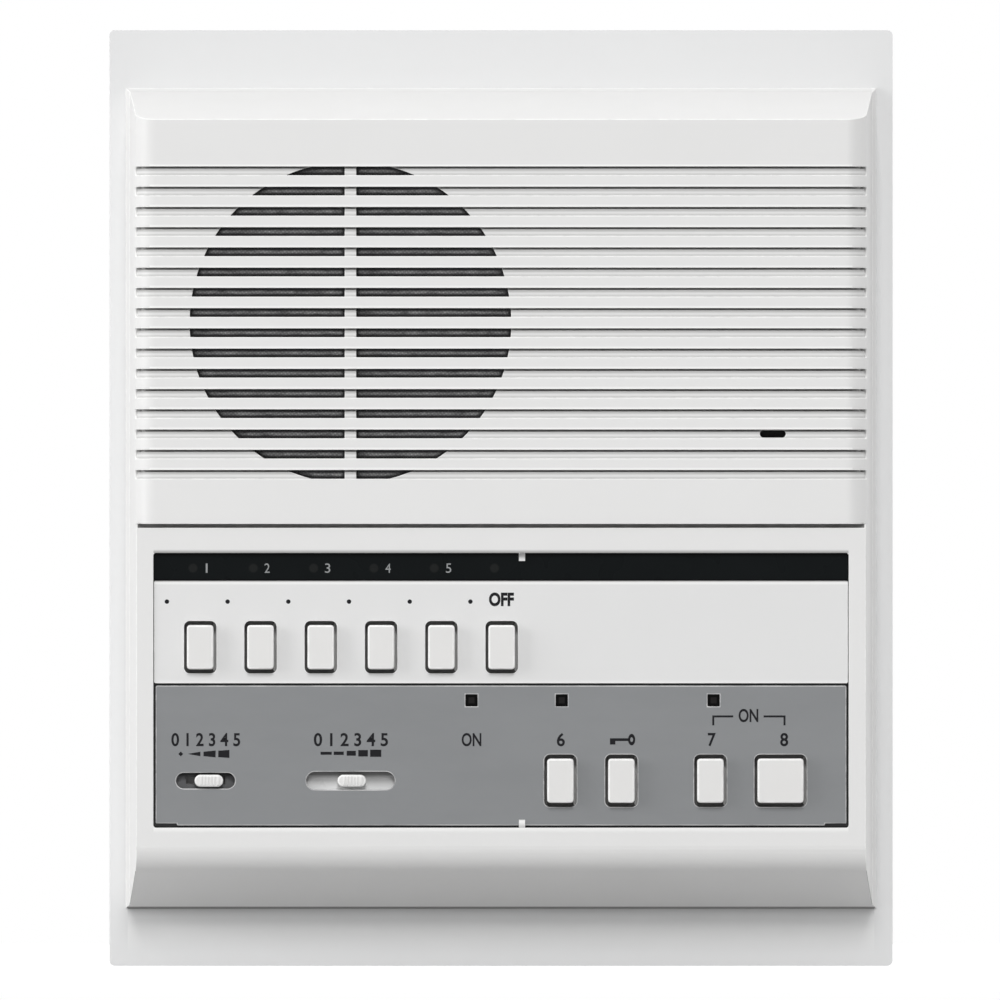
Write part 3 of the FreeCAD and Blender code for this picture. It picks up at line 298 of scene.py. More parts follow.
dustColour = (0.55, 0.54, 0.52)
# tone of the painted shade in seams, gaps, louvres and along lines
paintedShadeColour = (0.05, 0.048, 0.045)
paintedLightColour = (0.95, 0.95, 0.94)
cloudSpan = (0.3, 0.7)  # usual range of the grain's cloud
plainFinish = {
    # what a finish has where it doesn't say otherwise
    "metal": 0.0, "specular": 0.5, "coat": 0.0, "stretch": (1, 1, 1),
    "drift": (0.04, 25.0),  # amount, size
    "grain": 0.35, "waviness": 9.0, "wear": 0.3, "patch": 2.5, "dust": 0.06, "roughness": 0.45,
    "roughSpread": 0.08, "bump": 0.25, "bumpHeight": 0.02,
    # lines of painted light and of painted shade, each a soft band: (height, half width, reach above, amount
    # above, reach below, amount below)
    "polished": (), "edges": (), "edgeTone": paintedShadeColour,
}


def makeFinish(name, look):
    # colour, drift, grain, wear with painted rim highlights, and painted shade and light for one material
    look = {**plainFinish, "worn": look["colour"], **look}
    material = bpy.data.materials.new(name)
    material.use_nodes = True
    tree = material.node_tree
    shader = tree.nodes["Principled BSDF"]
    for label, key in (("Metallic", "metal"), ("Specular IOR Level", "specular"), ("Coat Weight", "coat")):
        shader.inputs[label].default_value = look[key]
    place = addNode(tree, "TexCoord")
    turn = addNode(tree, "Mapping", Vector=place.outputs["Object"], Scale=look["stretch"])
    vector = turn.outputs["Vector"]
    amount, size = look["drift"]
    drift = addGroup(tree, "drift", vector, Colour=(*look["colour"], 1), Drift=amount, Size=size)
    grain = addGroup(tree, "grain", vector, Grain=look["grain"], Waviness=look["waviness"])
    wear = addGroup(tree, "wear", vector, Amount=look["wear"], Patch=look["patch"])
    dust = addGroup(tree, "dust", vector, Amount=look["dust"])
    # masks and tones, laid over the colour one after another
    layers = [(wear["Mask"], look["worn"]), (dust["Mask"], dustColour)]
    # painted shade in the seam below the grille and along the case's foot
    if "grime" in look:
        grime = addGroup(tree, "grime", vector, Amount=look["grime"])
        layers.append((grime["Mask"], paintedShadeColour))
    if "louvre" in look:
        under, foot = look["louvre"]
        shade = addGroup(tree, "louvre", vector, Under=under, Foot=foot)
        # painted highlight on each bar's lower rim and painted shade on the louvre floors
        layers += [(shade["Rim"], paintedLightColour), (shade["Mask"], paintedShadeColour)]
    # painted highlight bands, then painted shade bands
    for tone, key in ((paintedLightColour, "polished"), (look["edgeTone"], "edges")):
        for line, half, above, aboveAmount, below, belowAmount in look[key]:
            shade = addGroup(tree, "edge", vector, Line=line, Half=half, Above=above,
                             AboveAmount=aboveAmount, Below=below, BelowAmount=belowAmount)
            layers.append((shade["Mask"], tone))
    if "heart" in look:
        heart = addNode(tree, "Attribute", attribute_name="lensHeart")
        layers.append((heart.outputs["Fac"], look["heart"]))
    if "gapShade" in look:
        # painted shade on the flange, deep in the gap round a key
        deep = addNode(tree, "Attribute", attribute_name="gapShade")
        layers.append((multiply(tree, deep.outputs["Fac"], look["gapShade"]), paintedShadeColour))
    colour = drift["Colour"]
    for mask, tone in layers:
        colour = mixColours(tree, mask, colour, tone)
    tree.links.new(colour, shader.inputs["Base Color"])
    rough = (look["roughness"] - look["roughSpread"], look["roughness"] + look["roughSpread"])
    tree.links.new(rampNode(tree, grain["Cloud"], cloudSpan, rough), shader.inputs["Roughness"])
    addBump(tree, grain["Height"], look["bump"], look["bumpHeight"])
    return material


# shade behind the upper edge of both slots
slotShade = [(-61.8, 80.0, 0.8, 0.95, 0.9, 0.95)]
finishes = {
    "whiteCase": {
        "colour": (0.793, 0.791, 0.786), "drift": (0.03, 40), "grain": 0.22, "waviness": 14,
        "bump": 0.35, "roughness": 0.46, "wear": 1.0, "worn": (0.97, 0.97, 0.96), "grime": 0.85,
        # painted shade under the louvre bars and painted highlight on their lower rims
        "louvre": (0.5, 0.3),
        # painted shade along the case's foot and under the window's top edge, and a painted highlight along
        # the window's lower edge
        "edges": [(-92.0, 84.0, 0.5, 0.88, 0.5, 0.0), (-12.3, 77.8, 0.95, 0.62, 0.5, 0.0)],
        "polished": [(-73.82, 77.8, 0.1, 0.0, 1.3, 0.9)]},
    "whiteKey": {
        "colour": (0.78, 0.776, 0.768), "drift": (0.04, 9), "grain": 0.12, "waviness": 3,
        "bump": 0.12, "bumpHeight": 0.01, "roughness": 0.34, "wear": 0.9, "worn": (0.96, 0.96, 0.95)},
    "whiteCap": {
        "colour": (0.785, 0.78, 0.77), "drift": (0.03, 9), "grain": 0.12, "waviness": 7,
        "bump": 0.1, "bumpHeight": 0.006, "roughness": 0.38, "roughSpread": 0.03, "wear": 1.0,
        "worn": (0.97, 0.97, 0.96), "gapShade": 0.88},
    "paintedPlate": {
        "colour": (0.772, 0.775, 0.777), "drift": (0.03, 50), "grain": 0.5, "waviness": 5,
        "bump": 0.3, "bumpHeight": 0.03, "roughness": 0.5, "worn": (0.74, 0.74, 0.73),
        # painted shadow of the case on the plate, a wide soft band and a dark line at its foot; further down
        # a painted lighter band
        "edges": [(-91.9, 83.8, 0.1, 0.0, 2.4, 0.28), (-91.9, 83.8, 0.1, 0.0, 0.5, 0.72)],
        "polished": [(-97.0, 83.8, 3.5, 0.35, 6.5, 0.35)]},
    "whiteSheet": {
        "colour": (0.765, 0.765, 0.763), "drift": (0.03, 18), "grain": 0.3, "waviness": 6,
        "bump": 0.15, "roughness": 0.5, "wear": 0.9, "worn": (0.95, 0.95, 0.95),
        # painted shade under the strip, and painted highlights along the sheet's lower and upper edges
        "edges": [(-18.5, 78.0, 0.1, 0.0, 0.4, 0.7)],
        "polished": [(-41.5, 77.8, 0.8, 0.9, 0.1, 0.0), (-18.9, 77.8, 0.1, 0.0, 0.7, 0.9)]},
    "greySheet": {
        "colour": (0.227, 0.234, 0.241), "drift": (0.14, 7), "grain": 0.3, "waviness": 5,
        "stretch": (0.35, 1, 1), "bump": 0.2, "roughness": 0.44, "wear": 1.0, "worn": (0.62, 0.62, 0.62)},
    "darkPlastic": {
        "colour": (0.028, 0.028, 0.03), "drift": (0.2, 12), "roughness": 0.5, "specular": 0.35,
        "worn": (0.06, 0.06, 0.06)},
    "dishPlastic": {
        "colour": (0.14, 0.142, 0.146), "drift": (0.25, 2), "roughness": 0.5, "specular": 0.2,
        "edges": slotShade, "edgeTone": (0.004, 0.004, 0.004), "worn": (0.16, 0.16, 0.16)},
    "blackedSteel": {
        "colour": (0.4, 0.4, 0.4), "drift": (0.25, 2), "roughness": 0.5, "specular": 0.2,
        "edges": slotShade, "edgeTone": (0.004, 0.004, 0.004), "worn": (0.2, 0.2, 0.2)},
    "switchPlastic": {
        "colour": (0.06, 0.06, 0.065), "drift": (0.15, 8), "worn": (0.1, 0.1, 0.1)},
    "stemPlastic": {"colour": (0.62, 0.59, 0.5), "drift": (0.08, 4), "roughness": 0.42},
    "lampRed": {"colour": (0.22, 0.02, 0.018), "drift": (0.15, 2), "roughness": 0.16, "coat": 0.3},
    "lensSmoke": {
        "colour": (0.003, 0.003, 0.003), "drift": (0.25, 1.2), "roughness": 0.28,
        "specular": 0.04, "heart": (0.016, 0.015, 0.015)},
    "boardSheet": {
        "colour": (0.2, 0.11, 0.035), "drift": (0.2, 10), "grain": 0.5, "roughness": 0.42},
    "chipPlastic": {"colour": (0.022, 0.022, 0.024), "drift": (0.2, 3), "roughness": 0.55},
    "canSleeve": {
        "colour": (0.02, 0.035, 0.11), "drift": (0.15, 4), "roughness": 0.24, "coat": 0.3},
    "ironCore": {
        "colour": (0.14, 0.12, 0.1), "drift": (0.3, 3), "stretch": (1, 1, 6), "roughness": 0.5},
    "foamRing": {
        "colour": (0.035, 0.035, 0.038), "drift": (0.3, 1.5), "grain": 0.4, "bump": 0.9,
        "bumpHeight": 0.15, "roughness": 0.9, "specular": 0.2},
    "pressedSteel": {
        "colour": (0.56, 0.56, 0.53), "drift": (0.12, 8), "metal": 1.0, "grain": 0.15,
        "stretch": (0.2, 1, 1), "roughness": 0.34, "roughSpread": 0.1},
    "conePaper": {
        "colour": (0.03, 0.03, 0.03), "drift": (0.35, 2), "grain": 0.5, "bump": 0.7,
        "bumpHeight": 0.08, "roughness": 0.85, "specular": 0.25},
    "ferrite": {"colour": (0.06, 0.06, 0.064), "drift": (0.2, 5), "roughness": 0.5},
    "leadSleeve": {"colour": (0.3, 0.022, 0.018), "drift": (0.12, 4), "roughness": 0.36},
    "bootRubber": {
        "colour": (0.022, 0.022, 0.022), "drift": (0.2, 3), "roughness": 0.72, "specular": 0.3},
    "capsuleMetal": {
        "colour": (0.66, 0.66, 0.66), "drift": (0.1, 3), "metal": 1.0, "roughness": 0.28},
    "terminalPlastic": {
        "colour": (0.028, 0.027, 0.026), "drift": (0.2, 6), "roughness": 0.4,
        "wear": 0.5, "worn": (0.08, 0.08, 0.08)},
    "screwSteel": {
        "colour": (0.6, 0.59, 0.56), "drift": (0.15, 1.5), "metal": 1.0, "roughness": 0.3,
        "wear": 0.5, "worn": (0.8, 0.79, 0.76)},
    "coverPlastic": {
        "colour": (0.085, 0.085, 0.09), "drift": (0.12, 20), "grain": 0.4, "bump": 0.6,
        "bumpHeight": 0.04, "roughness": 0.55, "wear": 0.6, "worn": (0.16, 0.16, 0.165)},
    "darkInk": {
        "colour": (0.012, 0.012, 0.014), "drift": (0.3, 0.8), "roughness": 0.5, "specular": 0.1},
    "paleInk": {"colour": (0.27, 0.28, 0.285), "drift": (0.2, 0.6), "roughness": 0.5},
}
materials = {name: makeFinish(name, look) for name, look in finishes.items()}


def lengthNode(tree, across, upward):
    squares = mathNode(tree, "ADD", multiply(tree, across, across), multiply(tree, upward, upward))
    return mathNode(tree, "SQRT", squares)


def recolour(material, factor, tone, blend="MIX"):
    # lays another tone over the finish's own colour
    tree = material.node_tree
    socket = tree.nodes["Principled BSDF"].inputs["Base Color"]
    own = socket.links[0].from_socket
    tree.links.new(mixColours(tree, factor, own, tone, blend), socket)


def makeStripMaterial():
    # smoked strip: the round lamps behind it show as faint discs
    look = {"colour": (0.0052, 0.0065, 0.007), "drift": (0.25, 12), "grain": 0.2, "bump": 0.06,
            "bumpHeight": 0.01, "roughness": 0.3, "specular": 0.05, "wear": 0.0,
            # painted shade along the strip's top and bottom edges
            "edges": [(-12.3, 77.8, 0.1, 0.0, 1.3, 0.95), (-18.5, 77.8, 0.6, 0.95, 0.1, 0.0)],
            "edgeTone": (0.0004, 0.0004, 0.0004)}
    disc = {"first": -68.95, "pitch": 13.5, "count": 6, "row": -15.7, "radius": 1.15, "blur": 0.35,
            "tone": (0.014, 0.015, 0.015)}
    material = makeFinish("smokedStrip", look)
    tree = material.node_tree
    place = splitVector(tree, addNode(tree, "TexCoord").outputs["Object"])
    firstStep = 0.5 - disc["first"] / disc["pitch"]
    along = mathNode(tree, "MULTIPLY_ADD", place["X"], 1 / mm / disc["pitch"], firstStep)
    step = mathNode(tree, "FLOOR", along)
    fromCentre = mathNode(tree, "SUBTRACT", mathNode(tree, "FRACT", along), 0.5)
    offset = mathNode(tree, "MULTIPLY", fromCentre, disc["pitch"])
    height = mathNode(tree, "MULTIPLY_ADD", place["Z"], 1 / mm, -disc["row"])
    away = lengthNode(tree, offset, height)
    inDisc = rampNode(tree, away, (disc["radius"], disc["radius"] - disc["blur"]))
    pastFirst = mathNode(tree, "GREATER_THAN", step, -0.5)
    beforeEnd = mathNode(tree, "LESS_THAN", step, disc["count"] - 0.5)
    recolour(material, multiply(tree, inDisc, pastFirst, beforeEnd), disc["tone"])
    return material


def makeClothMaterial():
    # dark open weave with painted light in the middle of each gap, where it bulges, broken into streaks, and
    # painted shade towards the edges of the gap, the rib and the disc
    look = {"colour": (0.011, 0.011, 0.012), "drift": (0.5, 3.0), "roughness": 0.62, "grain": 0.2,
            "dust": 0.0, "thread": 0.62, "threadTurn": 38, "bright": (0.85, 0.85, 0.86), "weaveBump": 0.8,
            "weaveHeight": 0.12, "weaveShare": 0.5, "weaveLeast": 0.65, "ribX": -33.7, "ribHalf": 1.3,
            "discZ": 39.25, "disc": 36.0, "streakStretch": (0.3, 1, 1), "streakScale": 0.9,
            "streakSpan": (0.32, 0.7), "streakLight": (0.25, 1.0)}
    # where the light begins and is full, from the edges of the gap, of the rib and of the disc
    fades = {"gap": (0.35, 1.0), "rib": (0.1, 1.1), "disc": (0.1, 1.3)}
    material = makeFinish("speakerFabric", look)
    tree = material.node_tree
    place = addNode(tree, "TexCoord").outputs["Object"]
    turn = addNode(tree, "Mapping", Vector=place, Rotation=(0, math.radians(look["threadTurn"]), 0))
    turned = splitVector(tree, turn.outputs["Vector"])
    waves = []
    for axis in ("X", "Z"):
        phase = mathNode(tree, "MULTIPLY", turned[axis], 2 * math.pi / (look["thread"] * mm))
        waves.append(mathNode(tree, "MULTIPLY_ADD", mathNode(tree, "SINE", phase), 0.5, 0.5))
    weave = multiply(tree, *waves)
    flat = splitVector(tree, place)
    pitch = louvres["pitch"]
    rows = mathNode(tree, "MULTIPLY_ADD", flat["Z"], -1 / mm / pitch, louvres["top"] / pitch)
    down = mathNode(tree, "MULTIPLY", mathNode(tree, "FRACT", rows), pitch)
    fromMiddle = mathNode(tree, "ABSOLUTE", mathNode(tree, "SUBTRACT", down, louvres["gap"] / 2))
    aside = mathNode(tree, "MULTIPLY_ADD", flat["X"], 1 / mm, -look["ribX"])
    upward = mathNode(tree, "MULTIPLY_ADD", flat["Z"], 1 / mm, -look["discZ"])
    away = {
        "gap": mathNode(tree, "SUBTRACT", louvres["gap"] / 2, fromMiddle),
        "rib": mathNode(tree, "SUBTRACT", mathNode(tree, "ABSOLUTE", aside), look["ribHalf"]),
        "disc": mathNode(tree, "SUBTRACT", look["disc"], lengthNode(tree, aside, upward)),
    }
    light = multiply(tree, *[rampNode(tree, away[key], fades[key], smooth=True) for key in fades])
    drawn = addNode(tree, "Mapping", Vector=place, Scale=look["streakStretch"])
    streak = noiseNode(
        tree, drawn.outputs["Vector"], look["streakScale"] / mm, detail=4.0, roughness=0.7)
    broken = rampNode(tree, streak, look["streakSpan"], look["streakLight"])
    thick = mathNode(tree, "MULTIPLY_ADD", weave, look["weaveShare"], look["weaveLeast"])
    recolour(material, multiply(tree, light, broken, thick), look["bright"])
    addBump(tree, weave, look["weaveBump"], look["weaveHeight"])
    return material


def makeShutterMaterial():
    # white strip painted darker towards its top, as the shade of the slot's upper edge; tones go from its
    # foot to its top
    look = dict(finishes["whiteKey"], colour=(0.98, 0.98, 0.98), upper=-61.2, lower=-65.2, foot=1.0, top=0.1,
                between=[(0.25, 0.72), (0.5, 0.4), (0.73, 0.42), (0.8, 0.16)])
    material = makeFinish("shutterWhite", look)
    tree = material.node_tree
    place = splitVector(tree, addNode(tree, "TexCoord").outputs["Object"])
    height = rampNode(tree, place["Z"], (look["lower"] * mm, look["upper"] * mm))
    tone = addNode(tree, "ValToRGB", Fac=height)
    stops = tone.color_ramp.elements
    for stop, level in ((stops[0], look["foot"]), (stops[1], look["top"])):
        stop.color = (level, level, level, 1)
    for where, level in look["between"]:
        stops.new(where).color = (level, level, level, 1)
    recolour(material, 1.0, tone.outputs["Color"], "MULTIPLY")
    return material


def feltCapsule(material):
    # the metal can's front is closed with black felt
    felt = {"colour": (0.035, 0.035, 0.034), "roughness": 0.95, "facing": -0.7}
    tree = material.node_tree
    shader = tree.nodes["Principled BSDF"]
    normal = addNode(tree, "NewGeometry").outputs["True Normal"]
    front = mathNode(tree, "LESS_THAN", splitVector(tree, normal)["Y"], felt["facing"])
    recolour(material, front, felt["colour"])
    own = shader.inputs["Roughness"].links[0].from_socket
    blend = addNode(tree, "Mix", [(0, front), (2, own), (3, felt["roughness"])], data_type="FLOAT")
    tree.links.new(blend.outputs[0], shader.inputs["Roughness"])
    tree.links.new(mathNode(tree, "SUBTRACT", 1.0, front), shader.inputs["Metallic"])


feltCapsule(materials["capsuleMetal"])
materials["smokedStrip"] = makeStripMaterial()
materials["speakerFabric"] = makeClothMaterial()
materials["shutterWhite"] = makeShutterMaterial()
print("finishes made:", len(materials))


# mesh helpers

cleaning = {"merge": 0.002, "flat": 0.4}
sharpAngle = math.radians(28)
roomShare = 1.6  # how much further than the rounding a face has to reach


def cleanCopy(node):
    # a CAD node's triangles as merged, flat faces
    bm = bmesh.new()
    bm.from_mesh(nodes[node].data)
    bmesh.ops.remove_doubles(bm, verts=bm.verts, dist=cleaning["merge"] * mm)
    bmesh.ops.dissolve_limit(bm, angle_limit=math.radians(cleaning["flat"]), verts=bm.verts, edges=bm.edges)
    return bm


def hasRoom(edge, room):
    # true where both faces reach further from the edge than the rounding does
    start = edge.verts[0].co
    along = (edge.verts[1].co - start).normalized()
    for face in edge.link_faces:
        reach = max((vert.co - start).cross(along).length for vert in face.verts)
        if reach < room:
            return False
    return True


def sharpEdges(bm):
    return [edge for edge in bm.edges if edge.is_manifold and edge.calc_face_angle() > sharpAngle]


def softenEdges(bm, width, segments, chosen):
    # rounds the chosen edges and marks the new strips for wear and painted rim highlights
    band = bm.faces.layers.float.get("edgeBand") or bm.faces.layers.float.new("edgeBand")
    made = bmesh.ops.bevel(
        bm, geom=chosen, offset=width * mm, offset_type="OFFSET", affect="EDGES", segments=segments,
        profile=0.5, material=-1, clamp_overlap=False, loop_slide=False,
    )
    for face in made["faces"]:
        face[band] = 1.0
    return made["faces"]


def keepInside(bm, node):
    # a softened corner may overshoot where three edges meet, so it is brought back to the node's box
    low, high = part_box(node)
    for vert in bm.verts:
        vert.co = [min(max(place, near), far) for place, near, far in zip(vert.co, low, high)]


def addObject(name, data):
    made = bpy.data.objects.new(name, data)
    bpy.context.scene.collection.objects.link(made)
    return made


def placePiece(name, bm, body, material, replaced=(), smooth=32):
    mesh = bpy.data.meshes.new(name)
    bm.to_mesh(mesh)
    bm.free()
    mesh.polygons.foreach_set("use_smooth", [True] * len(mesh.polygons))
    mesh.set_sharp_from_angle(angle=math.radians(smooth))
    mesh.materials.append(materials[material])
    piece = addObject(name, mesh)
    # keeps broad faces flat beside their soft edges
    even = piece.modifiers.new("evenNormals", "WEIGHTED_NORMAL")
    even.keep_sharp = True
    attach(piece, body)
    if replaced:
        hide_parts(*replaced)
    return piece


def bodyOf(node):
    return nodes[node]["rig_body"]


# pieces whose CAD shape is right and whose edges are softened here

dressed = {
    # node: (piece, material, slot, edge width)
    "mounting_plate": ("mountingPlate", "paintedPlate", "painted_plate", 0.2),
    "front_case": ("frontCase", "whiteCase", "white_case", 0.16),
    "indicator_window": ("indicatorStrip", "smokedStrip", "smoked_strip", 0.08),
    "directory_plate": ("directoryPlate", "whiteSheet", "white_sheet", 0.18),
    "legend_plate": ("legendPlate", "greySheet", "grey_sheet", 0.2),
    "music_slot_liner": ("musicSlotDish", "dishPlastic", "dark_plastic", 0.08),
    "voice_slider_shutter": ("voiceShutter", "shutterWhite", "white_key", 0.08),
    "rear_cover": ("rearCover", "coverPlastic", "cover_plastic", 0.15),
    "terminal_block": ("terminalBlock", "terminalPlastic", "terminal_plastic", 0.12),
    "terminal_screws": ("terminalScrews", "screwSteel", "screw_steel", 0.15),
    "rear_cover_screws": ("coverScrews", "screwSteel", "screw_steel", 0.15),
    "indicator_lenses": ("lampLenses", "lensSmoke", "lens_smoke", 0.12),
}
edgeSteps = 2
caseFoot = {"width": 0.45, "segments": 3, "dirt": 0.75, "seamTop": -5.8, "seamHeight": 0.85,
            "seamFront": -24.95, "sideReach": 4.5, "sideFrom": 0.6, "sideTo": 8.5, "sideDirt": 0.55}
lensHeart = {"border": 0.62, "facing": -0.9}
caseWindow = {"rows": (-12.3, -73.82), "front": -25.0, "tabFront": -24.95}


def rimEdges(bm, node):
    # the outer edges of the plate, front and back
    low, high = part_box(node)
    near = 0.01 * mm

    def onRim(vert):
        return min(vert.co.x - low.x, high.x - vert.co.x, vert.co.z - low.z, high.z - vert.co.z) < near

    return [edge for edge in sharpEdges(bm) if onRim(edge.verts[0]) and onRim(edge.verts[1])]


def atWindow(edge):
    # the window's long edges and its catch tab stay sharp, because the tab lies just behind them
    near = 0.02

    def touches(place, *values):
        return any(abs(place / mm - value) < near for value in values)

    onLong = all(touches(vert.co.z, *caseWindow["rows"]) and touches(vert.co.y, caseWindow["front"])
                 for vert in edge.verts)
    onTab = any(touches(vert.co.y, caseWindow["tabFront"]) for vert in edge.verts)
    return onLong or onTab


def footEdges(bm):
    # the case's lower rear edge, which tucks in over the plate
    low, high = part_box("front_case")
    near = 0.01 * mm
    return [edge for edge in bm.edges
            if all(abs(vert.co.z - low.z) < near and abs(vert.co.y - high.y) < near for vert in edge.verts)]


def markSeam(bm):
    # faces inside the seam below the grille carry painted shade
    band = bm.faces.layers.float.new("grimeBand")
    near = 0.05
    top = caseFoot["seamTop"] + near
    foot = caseFoot["seamTop"] - caseFoot["seamHeight"] - near
    for face in bm.faces:
        middle = face.calc_center_median() / mm
        if foot < middle.z < top and middle.y > caseFoot["seamFront"]:
            face[band] = 1.0


def markFootSides(bm, rounded):
    # the two edges between the lower slope and the case's sides hold a thin line of painted shade
    band = bm.faces.layers.float["grimeBand"]
    low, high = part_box("front_case")
    for face in rounded:
        middle = face.calc_center_median()
        fromSide = min(middle.x - low.x, high.x - middle.x) / mm
        fromFoot = (middle.z - low.z) / mm
        if fromSide < caseFoot["sideReach"] and caseFoot["sideFrom"] < fromFoot < caseFoot["sideTo"]:
            face[band] = caseFoot["sideDirt"]


def markHearts(bm):
    # the middle of each lens front, where the lamp behind shows through
    band = bm.faces.layers.float.new("lensHeart")
    fronts = [face for face in bm.faces if face.normal.y < lensHeart["facing"]]
    bmesh.ops.inset_individual(bm, faces=fronts, thickness=lensHeart["border"] * mm, use_even_offset=True)
    for face in fronts:
        face[band] = 1.0


for node, (piece, material, slotName, width) in dressed.items():
    bm = cleanCopy(node)
    if node == "front_case":
        markSeam(bm)
        # the rounded foot is painted dark, as shade where the case meets the plate
        under = softenEdges(bm, caseFoot["width"], caseFoot["segments"], chosen=footEdges(bm))
        grimeBand = bm.faces.layers.float["grimeBand"]
        for face in under:
            face[grimeBand] = caseFoot["dirt"]
    if node == "indicator_lenses":
        markHearts(bm)
    if node == "mounting_plate":
        chosen = rimEdges(bm, node)
    else:
        chosen = [edge for edge in sharpEdges(bm) if hasRoom(edge, roomShare * width * mm)]
    if node == "front_case":
        chosen = [edge for edge in chosen if not atWindow(edge)]
    rounded = softenEdges(bm, width, edgeSteps, chosen=chosen)
    if node == "front_case":
        markFootSides(bm, rounded)
    keepInside(bm, node)
    placePiece(piece, bm, bodyOf(node), material, [node])
print("softened pieces placed:", len(dressed))


# push buttons

def makeSlab(size, middle, corner, steps):
    # block with its edges along Y rounded
    bm = bmesh.new()
    bmesh.ops.create_cube(bm, size=1)
    bmesh.ops.scale(bm, vec=size, verts=bm.verts)
    bmesh.ops.translate(bm, vec=middle, verts=bm.verts)
    upright = [edge for edge in bm.edges if abs((edge.verts[0].co - edge.verts[1].co).y) > size[1] / 2]
    softenEdges(bm, corner, steps, chosen=upright)
    return bm


def frontFace(bm):
    # the largest of the foremost faces
    return min(bm.faces, key=lambda face: (round(face.calc_center_median().y, 7), -face.calc_area()))


def makeKeyCap(node, look):
    # flange, then the cap drawn out of it and its rim rounded
    low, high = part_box(node)
    middle = (low + high) / 2
    size = high - low
    depth = look["flangeThickness"] * mm
    bm = makeSlab((size.x, depth, size.z), (middle.x, high.y - depth / 2, middle.z),
                  look["corner"] + look["flange"], look["cornerSteps"])
    shade = bm.faces.layers.float.new("gapShade")
    front = frontFace(bm)
    inset = bmesh.ops.inset_individual(bm, faces=[front], thickness=look["flange"] * mm, use_even_offset=True)
    # the flange ring is marked for painted shade, weaker on its right side
    for face in inset["faces"]:
        onRight = face.calc_center_median().x > high.x - look["flange"] * mm
        face[shade] = look["rightShade"] if onRight else 1.0
    pulled = bmesh.ops.extrude_face_region(bm, geom=[front])
    cap = next(item for item in pulled["geom"] if isinstance(item, bmesh.types.BMFace))
    bmesh.ops.delete(bm, geom=[front], context="FACES_ONLY")
    bmesh.ops.translate(bm, vec=(0, low.y - (high.y - depth), 0), verts=list(cap.verts))
    centre = Matrix.Translation(-cap.calc_center_median())
    draft = 1 - 2 * look["draft"] * mm / (size.x - 2 * look["flange"] * mm)
    bmesh.ops.scale(bm, vec=(draft, 1, draft), space=centre, verts=list(cap.verts))
    softenEdges(bm, look["rim"], look["rimSteps"], chosen=list(cap.edges))
    bmesh.ops.recalc_face_normals(bm, faces=bm.faces)
    return bm


keyCap = {"flange": 1.0, "flangeThickness": 1.0, "corner": 0.7, "cornerSteps": 5, "rim": 0.42,
          "rimSteps": 4, "draft": 0.04, "rightShade": 0.2}
keyNodes = ["selector_button_%d" % number for number in range(1, 6)]
keyNodes += ["off_button", "all_call_button", "door_release_button", "privacy_button", "talk_button"]
for node in keyNodes:
    words = node.split("_")
    piece = words[0] + "".join(word.capitalize() for word in words[1:])
    placePiece(piece, makeKeyCap(node, keyCap), bodyOf(node), "whiteCap", [node])
print("push buttons placed:", len(keyNodes))


# volume knobs, ovals with a row of grip ribs

def makeKnob(node, look):
    low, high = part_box(node)
    middle = (low + high) / 2
    size = high - low
    rib = look["ribProud"] * mm
    bm = makeSlab((size.x, size.y - rib, size.z), (middle.x, middle.y + rib / 2, middle.z),
                  size.z / 2 / mm - look["flat"], look["cornerSteps"])
    softenEdges(bm, look["rim"], look["rimSteps"], chosen=list(frontFace(bm).edges))
    for place, width in look["ribs"]:
        made = bmesh.ops.create_cube(bm, size=1)["verts"]
        bmesh.ops.scale(bm, vec=(width * mm, 2 * rib, look["ribHeight"] * mm), verts=made)
        bmesh.ops.translate(bm, vec=(middle.x + place * mm, low.y + rib, middle.z), verts=made)
        edges = {edge for vert in made for edge in vert.link_edges}
        softenEdges(bm, look["ribEdge"], look["ribSteps"], chosen=list(edges))
    bmesh.ops.recalc_face_normals(bm, faces=bm.faces)
    return bm


knob = {"flat": 0.04, "cornerSteps": 8, "rim": 0.4, "rimSteps": 4, "ribProud": 0.22, "ribHeight": 1.95,
        "ribEdge": 0.09, "ribSteps": 2,
        "ribs": [(-1.7, 0.36), (-1.0, 0.36), (-0.3, 0.36), (0.4, 0.36), (1.1, 0.36), (2.05, 0.5)]}
for node, piece in (("music_slider_knob", "musicKnob"), ("voice_slider_knob", "voiceKnob")):
    placePiece(piece, makeKnob(node, knob), bodyOf(node), "whiteKey", [node])
print("volume knobs placed")


# speaker cloth behind the louvres

